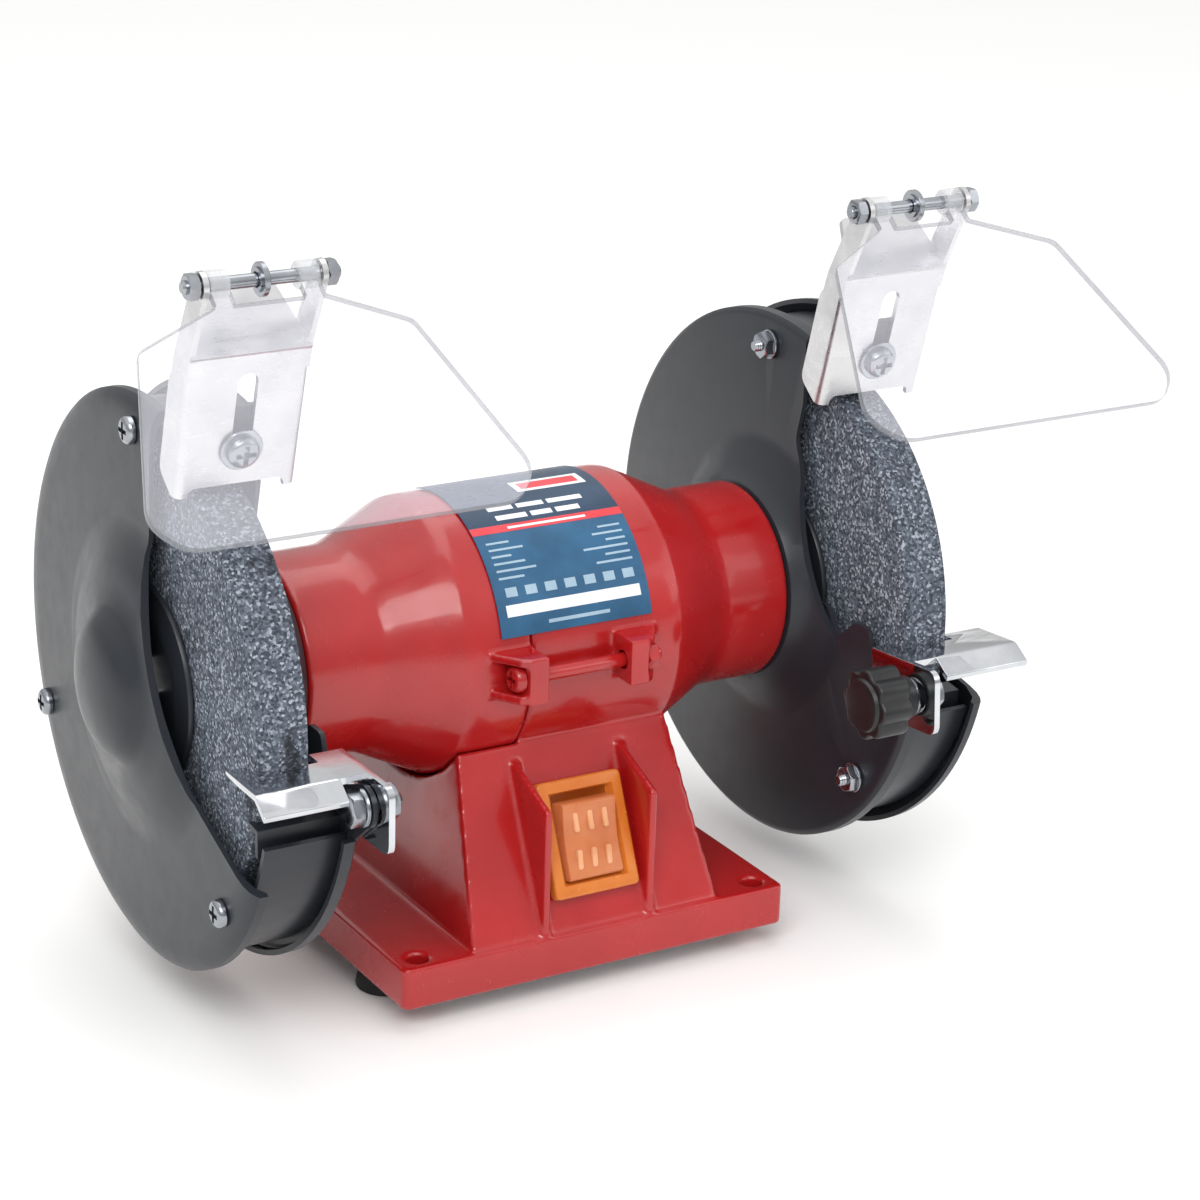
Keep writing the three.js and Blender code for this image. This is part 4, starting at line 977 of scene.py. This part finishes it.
def makeRod():
    h = bracket["half"] + 0.3
    stem = shank("stem", 2, -24, 24, 0)
    ends = []
    for hand in (-1, 1):
        threads = shank("threads", 1.95, 20, 24.2, 3, 0.8)
        ends.append(tidyNormals(moved(threads, (0, 0, 0), 0, hand)))
    nut = moved(hexNut("nut", 7, 3.4), (h, 0, 0))
    return moved(joined([stem, nut] + ends, "shieldRod"), (middle, *rodAt))


def makeRodNut():
    h = bracket["half"] + 0.3
    nut = tidyNormals(moved(hexNut("rodNut", 7, 3.4, 2.15), (-h, 0, 0), 0, -1))
    return moved(nut, (middle, *rodAt))


def makeClip():
    profile = [
        (-1.5, 2.35), (-1.5, 3.6), (-0.9, 3.6), (-0.9, 4.8), (-0.7, 5), (0.7, 5), (0.9, 4.8), (0.9, 3.6),
        (1.5, 3.6), (1.5, 2.35), (-1.5, 2.35)]
    return moved(turned("ringClip", profile, 48), (middle, *rodAt))


# ---- eye shield
shield = {
    "tilt": 51.5, "thick": 2.4, "barrel": 4.1, "inner": 10.8, "outward": 2.2, "top": 8,
    "corners": ((42, 20, 5), (58.4, 74.5, 11), (49.5, 84.3, 12)),
}


def makeEyeShield():
    s = shield
    outer = bracket["half"] - bracket["sheet"] - 0.6
    right = [(s["outward"] + u, -v, r) for u, v, r in s["corners"]]
    left = [(s["outward"] - u, -v, r) for u, v, r in s["corners"]][::-1]
    outline = rounded([(outer, -s["top"], 1), *right, *left, (-outer, -s["top"], 1)], 10)
    sheet = soften(plate("eyeShield", outline, "y", -s["thick"] / 2, s["thick"] / 2), 0.35, 2, 50)
    for hand in (-1, 1):
        a, b = sorted((hand * s["inner"], hand * outer))
        low, big = -s["top"] - 2, s["barrel"]
        strap = plate("strap", rectangle(2.4, -low, (0, low / 2)), "x", a + 0.02, b - 0.02)
        profile = [(a, 0), (a, big - 0.4), (a + 0.4, big), (b - 0.4, big), (b, big - 0.4), (b, 0)]
        carve(sheet, strap, "UNION")
        carve(sheet, turned("barrel", profile, 40), "UNION")
        carve(sheet, dowel("bore", 2.12, a - 1, b + 1, 40))
    for finish in ("clear", "clearEdge", "clearKnuckle"):
        sheet.data.materials.append(paint[finish])
    # the knuckles get the third finish; the cut edges get the second, whose darker grey paints the shade
    # along them
    for face in sheet.data.polygons:
        face.material_index = 2 if face.center.z > -5.2 else int(abs(face.normal.y) < 0.8)
    return moved(sheet, (middle, *rodAt), -s["tilt"])


# ---- tool rest
rest = {
    "front": -90.5, "back": -70.5, "top": -2, "sheet": 2, "reach": 6.3, "drop": 4.8, "lipIn": 105.2,
    "flange": (94.7, 96.7), "tip": -104.4, "low": -23, "slot": (-100, -78, 8.6), "notchGap": 2,
}


def makeToolRest(shift, beyond):
    r, w = rest, wheelSize
    t, top, front, back, flange = r["sheet"], r["top"], r["front"], r["back"], r["flange"]
    dy, dz = -r["reach"], -r["drop"]
    sheetLine = rounded([
        (back, top), (front, top, 3.5), (front + dy, top + dz, 0.6), (front + dy + 0.6, top + dz - t, 0.6),
        (front + 0.6, top - t, 2), (back, top - t)], 6)
    wide = plate("toolRest", sheetLine, "x", r["lipIn"], guard["outer"] + beyond)
    soften(wide, 0.3, 2, 60)
    nearLine = [(back, top), (front, top), (front, top - t), (back, top - t)]
    near = plate("near", nearLine, "x", flange[0], r["lipIn"] + 0.5)
    low, tip = r["low"], r["tip"]
    sideLine = rounded([(back, top), (back, low, 4), (tip, low, 4), (tip, top, 4)], 6)
    side = plate("side", sideLine, "x", *flange)
    carve(wide, near, "UNION")
    carve(wide, side, "UNION")
    a = w["centre"] - w["width"] / 2 + shift - r["notchGap"]
    b = w["centre"] + w["width"] / 2 + shift + r["notchGap"]
    depth = w["radius"] + r["notchGap"]
    notch = rounded([(a, -60), (a, -depth, 1), (b, -depth, 1), (b, -60)], 4)
    carve(wide, plate("notch", notch, "z", top - 6, top + 2))
    start, end, width = r["slot"]
    slot = roundSlot((start + width / 2, restBolt["z"]), (end - width / 2, restBolt["z"]), width, 12)
    carve(wide, plate("slot", slot, "x", 92, 100))
    # the bend between the plate and the slotted flange
    pick(wide)
    mesh = wide.data
    for thing in (*mesh.vertices, *mesh.edges, *mesh.polygons):
        thing.select = False
    for edge in mesh.edges:
        ends = [mesh.vertices[i].co for i in edge.vertices]
        edge.select = all(abs(p.x - flange[0]) < 0.05 and abs(p.z - top) < 0.05 for p in ends)
    bpy.ops.object.mode_set(mode="EDIT")
    bpy.ops.mesh.select_mode(type="EDGE")
    bpy.ops.mesh.bevel(offset=2.2, segments=5, affect="EDGES", clamp_overlap=True)
    bpy.ops.mesh.select_mode(type="VERT")
    bpy.ops.object.mode_set(mode="OBJECT")
    return wide


def atBolt(piece):
    return moved(piece, (0, restBolt["y"], restBolt["z"]))


washerFace = guard["inner"] - rest["sheet"] - 0.6


def makeRestBolt(held):
    inner = guard["inner"] + guard["sheet"] + 0.3
    stem = shank("stem", 3, -inner - 2, -(washerFace - 1.2 - held), 4)
    parts = [
        moved(plainWasher("washer", 2.9, 6, 1.2), (inner, 0, 0)),
        moved(hexNut("head", 10, 4, turn=12), (inner + 1.1, 0, 0)),
        tidyNormals(moved(stem, (0, 0, 0), 0, -1))]
    return atBolt(joined(parts, "restBolt"))


def makeRestWasher():
    return atBolt(moved(plainWasher("restWasher", 3.3, 6, 1.2), (washerFace - 1.2, 0, 0)))


def makeRestNut():
    nut = hexNut("restNut", 10, 4, 3.3, turn=20)
    return atBolt(tidyNormals(moved(nut, (washerFace - 1.5, 0, 0), 0, -1)))


knob = {"radius": 11.6, "lobes": 8, "valley": 1.6, "length": 18, "hub": 7, "face": 8.2}


def makeKnob():
    k = knob
    start = washerFace - 1.5
    outline = []
    for i in range(128):
        angle = 360 * i / 128
        wave = 0.5 + 0.5 * cos(radians(angle * k["lobes"]))
        outline.append(polar(k["radius"] - k["valley"] * (1 - wave ** 0.6), angle))
    grip = soften(plate("knob", outline, "x", start - k["length"] + 1.4, start - 5), 1.3, 4, 60)
    neck, end, face = k["hub"], start - k["length"], k["face"]
    hub = turned("hub", [
        (start - 6, 0), (start - 6, 9.4), (start - 4, 8.4), (start - 3.2, neck + 0.3), (start - 0.4, neck),
        (start, neck - 0.5), (start, 0)], 64)
    capLine = [(end, 0), (end, face - 0.8), (end + 0.3, face), (end + 2, face + 0.8), (end + 2, 0)]
    cap = turned("cap", capLine, 64)
    carve(grip, hub, "UNION")
    carve(grip, cap, "UNION")
    carve(grip, dowel("bore", 3.3, end + 3, start + 1, 32))
    return atBolt(grip)


sideFacts = {
    "left": {"sign": -1, "shift": 3.5, "stone": "usedStone", "restBeyond": 5, "restTurn": 0, "restRise": 0},
    "right": {"sign": 1, "shift": 0, "stone": "stone", "restBeyond": 10, "restTurn": -5, "restRise": 1.2},
}


def makeSide(name, sign, shift, stone, restBeyond, restTurn, restRise):
    def put(piece, body, node, finish, angle=38):
        piece.name = name + piece.name[0].upper() + piece.name[1:]
        return settled(piece, body, [name + "_" + node], paint[finish], sign, angle)

    put(makeInnerGuard(), "frame", "inner_guard", "black", 30)
    put(makeOuterCover(coverCorner[name]), "frame", "outer_cover", "black", 30)
    for i, angle in enumerate(guard["screws"]):
        put(makeCoverScrew(angle), "frame", f"cover_screw_{i + 1}", "hardware")
    print(name, "guard ready")
    put(moved(makeWheel(), (shift, 0, 0)), "spindle_set", "wheel", stone)
    for node, hand in (("inner_flange", -1), ("outer_flange", 1)):
        flange = makeFlange(middle + hand * wheelSize["width"] / 2, hand)
        put(moved(flange, (shift, 0, 0)), "spindle_set", node, "black")
    toolRest = makeToolRest(shift, restBeyond)
    moved(toolRest, (0, -restBolt["y"], -restBolt["z"]))
    moved(toolRest, (0, restBolt["y"], restBolt["z"] + restRise), restTurn)
    put(toolRest, name + "_rest", "tool_rest", "polished", 30)
    hasKnob = name + "_rest_knob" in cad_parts
    put(makeRestBolt(knob["length"] - 4 if hasKnob else 6), "frame", "rest_bolt", "hardware")
    put(makeRestWasher(), name + "_rest_pivot", "rest_washer", "hardware")
    if hasKnob:
        put(makeKnob(), name + "_knob", "rest_knob", "knob")
    else:
        put(makeRestNut(), "frame", "rest_nut", "hardware")
    put(makeBracket(), name + "_bracket", "shield_bracket", "zinc", 30)
    put(makeBracketScrew(), "frame", "bracket_screw", "hardware")
    put(makeRod(), name + "_bracket", "shield_rod", "hardware")
    put(makeRodNut(), name + "_bracket", "rod_nut", "hardware")
    put(makeClip(), name + "_bracket", "shield_clip", "hardware")
    put(makeEyeShield(), name + "_shield", "eye_shield", "clear", 30)
    print(name, "rest and shield ready")


for name, facts in sideFacts.items():
    makeSide(name, **facts)

# ---- floor, light and camera
# a light is its power, its size, its place and what it points at
stage = {
    "floor": "#F6F6F5", "size": 30, "horizon": (0, 0.7, 0.45, 1.1),
    "lights": {
        "keyLight": (11, (0.9, 0.6), (-0.7, -0.9, 1.1), (0, 0, 0.1)),
        "fillLight": (2.5, (0.8, 0.8), (1.1, -0.8, 0.7), (0, 0, 0.1)),
        "topLight": (4, (0.7, 1.2), (0.1, 0.25, 1.3), (0, 0, 0.1)),
    },
}


def makeFloor():
    deselect()
    bpy.ops.mesh.primitive_plane_add(size=stage["size"], location=(0, 0, 0))
    floor = bpy.context.object
    floor.name = "floor"
    floor.data.materials.append(startMaterial("paleFloor", stage["floor"], 0.7)[0])


def addLight(name, power, size, place, target):
    deselect()
    bpy.ops.object.light_add(type="AREA", location=place)
    light = bpy.context.object
    light.name = name
    light.data.energy = power
    light.data.shape = "RECTANGLE"
    light.data.size, light.data.size_y = size
    light.rotation_euler = (Vector(target) - Vector(place)).to_track_quat("-Z", "Y").to_euler()


makeFloor()
world = bpy.data.worlds.new("studio")
bpy.context.scene.world = world
world.use_nodes = True
sky = world.node_tree
background = sky.nodes["Background"]
background.inputs["Color"].default_value = (1, 1, 1, 1)
# darker low down than overhead, so that metal has something to reflect
heightNode = addNode(sky, "SeparateXYZ", Vector=addNode(sky, "TexCoord").outputs["Generated"])
sky.links.new(remap(sky, heightNode.outputs["Z"], *stage["horizon"]), background.inputs["Strength"])
for name, facts in stage["lights"].items():
    addLight(name, *facts)

# angles in degrees; the target is measured from the middle of the spindle
shot = {
    "azimuth": -31.27, "elevation": 20.0, "roll": 1.82, "distance": 1.0425, "lens": 98.2,
    "target": (0.01885, -0.02575, 0.01118),
}


def makeCamera():
    a, e, roll = (radians(shot[key]) for key in ("azimuth", "elevation", "roll"))
    back = Vector((sin(a) * cos(e), -cos(a) * cos(e), sin(e)))
    right = Vector((cos(a), sin(a), 0))
    up = back.cross(right)
    sideways = right * cos(roll) + up * sin(roll)
    upright = up * cos(roll) - right * sin(roll)
    target = Vector((0, axisY, axisZ)) + Vector(shot["target"])
    place = target + back * shot["distance"]
    camera = bpy.data.cameras.new("camera")
    camera.lens = shot["lens"]
    camera.sensor_width = 36
    camera.clip_start = 0.05
    holder = bpy.data.objects.new("camera", camera)
    bpy.context.collection.objects.link(holder)
    turn = Matrix((sideways, upright, back)).transposed().to_4x4()
    holder.matrix_world = Matrix.Translation(place) @ turn
    bpy.context.scene.camera = holder


makeCamera()
bpy.context.scene.view_settings.view_transform = "Standard"
deselect()
print("scene ready")
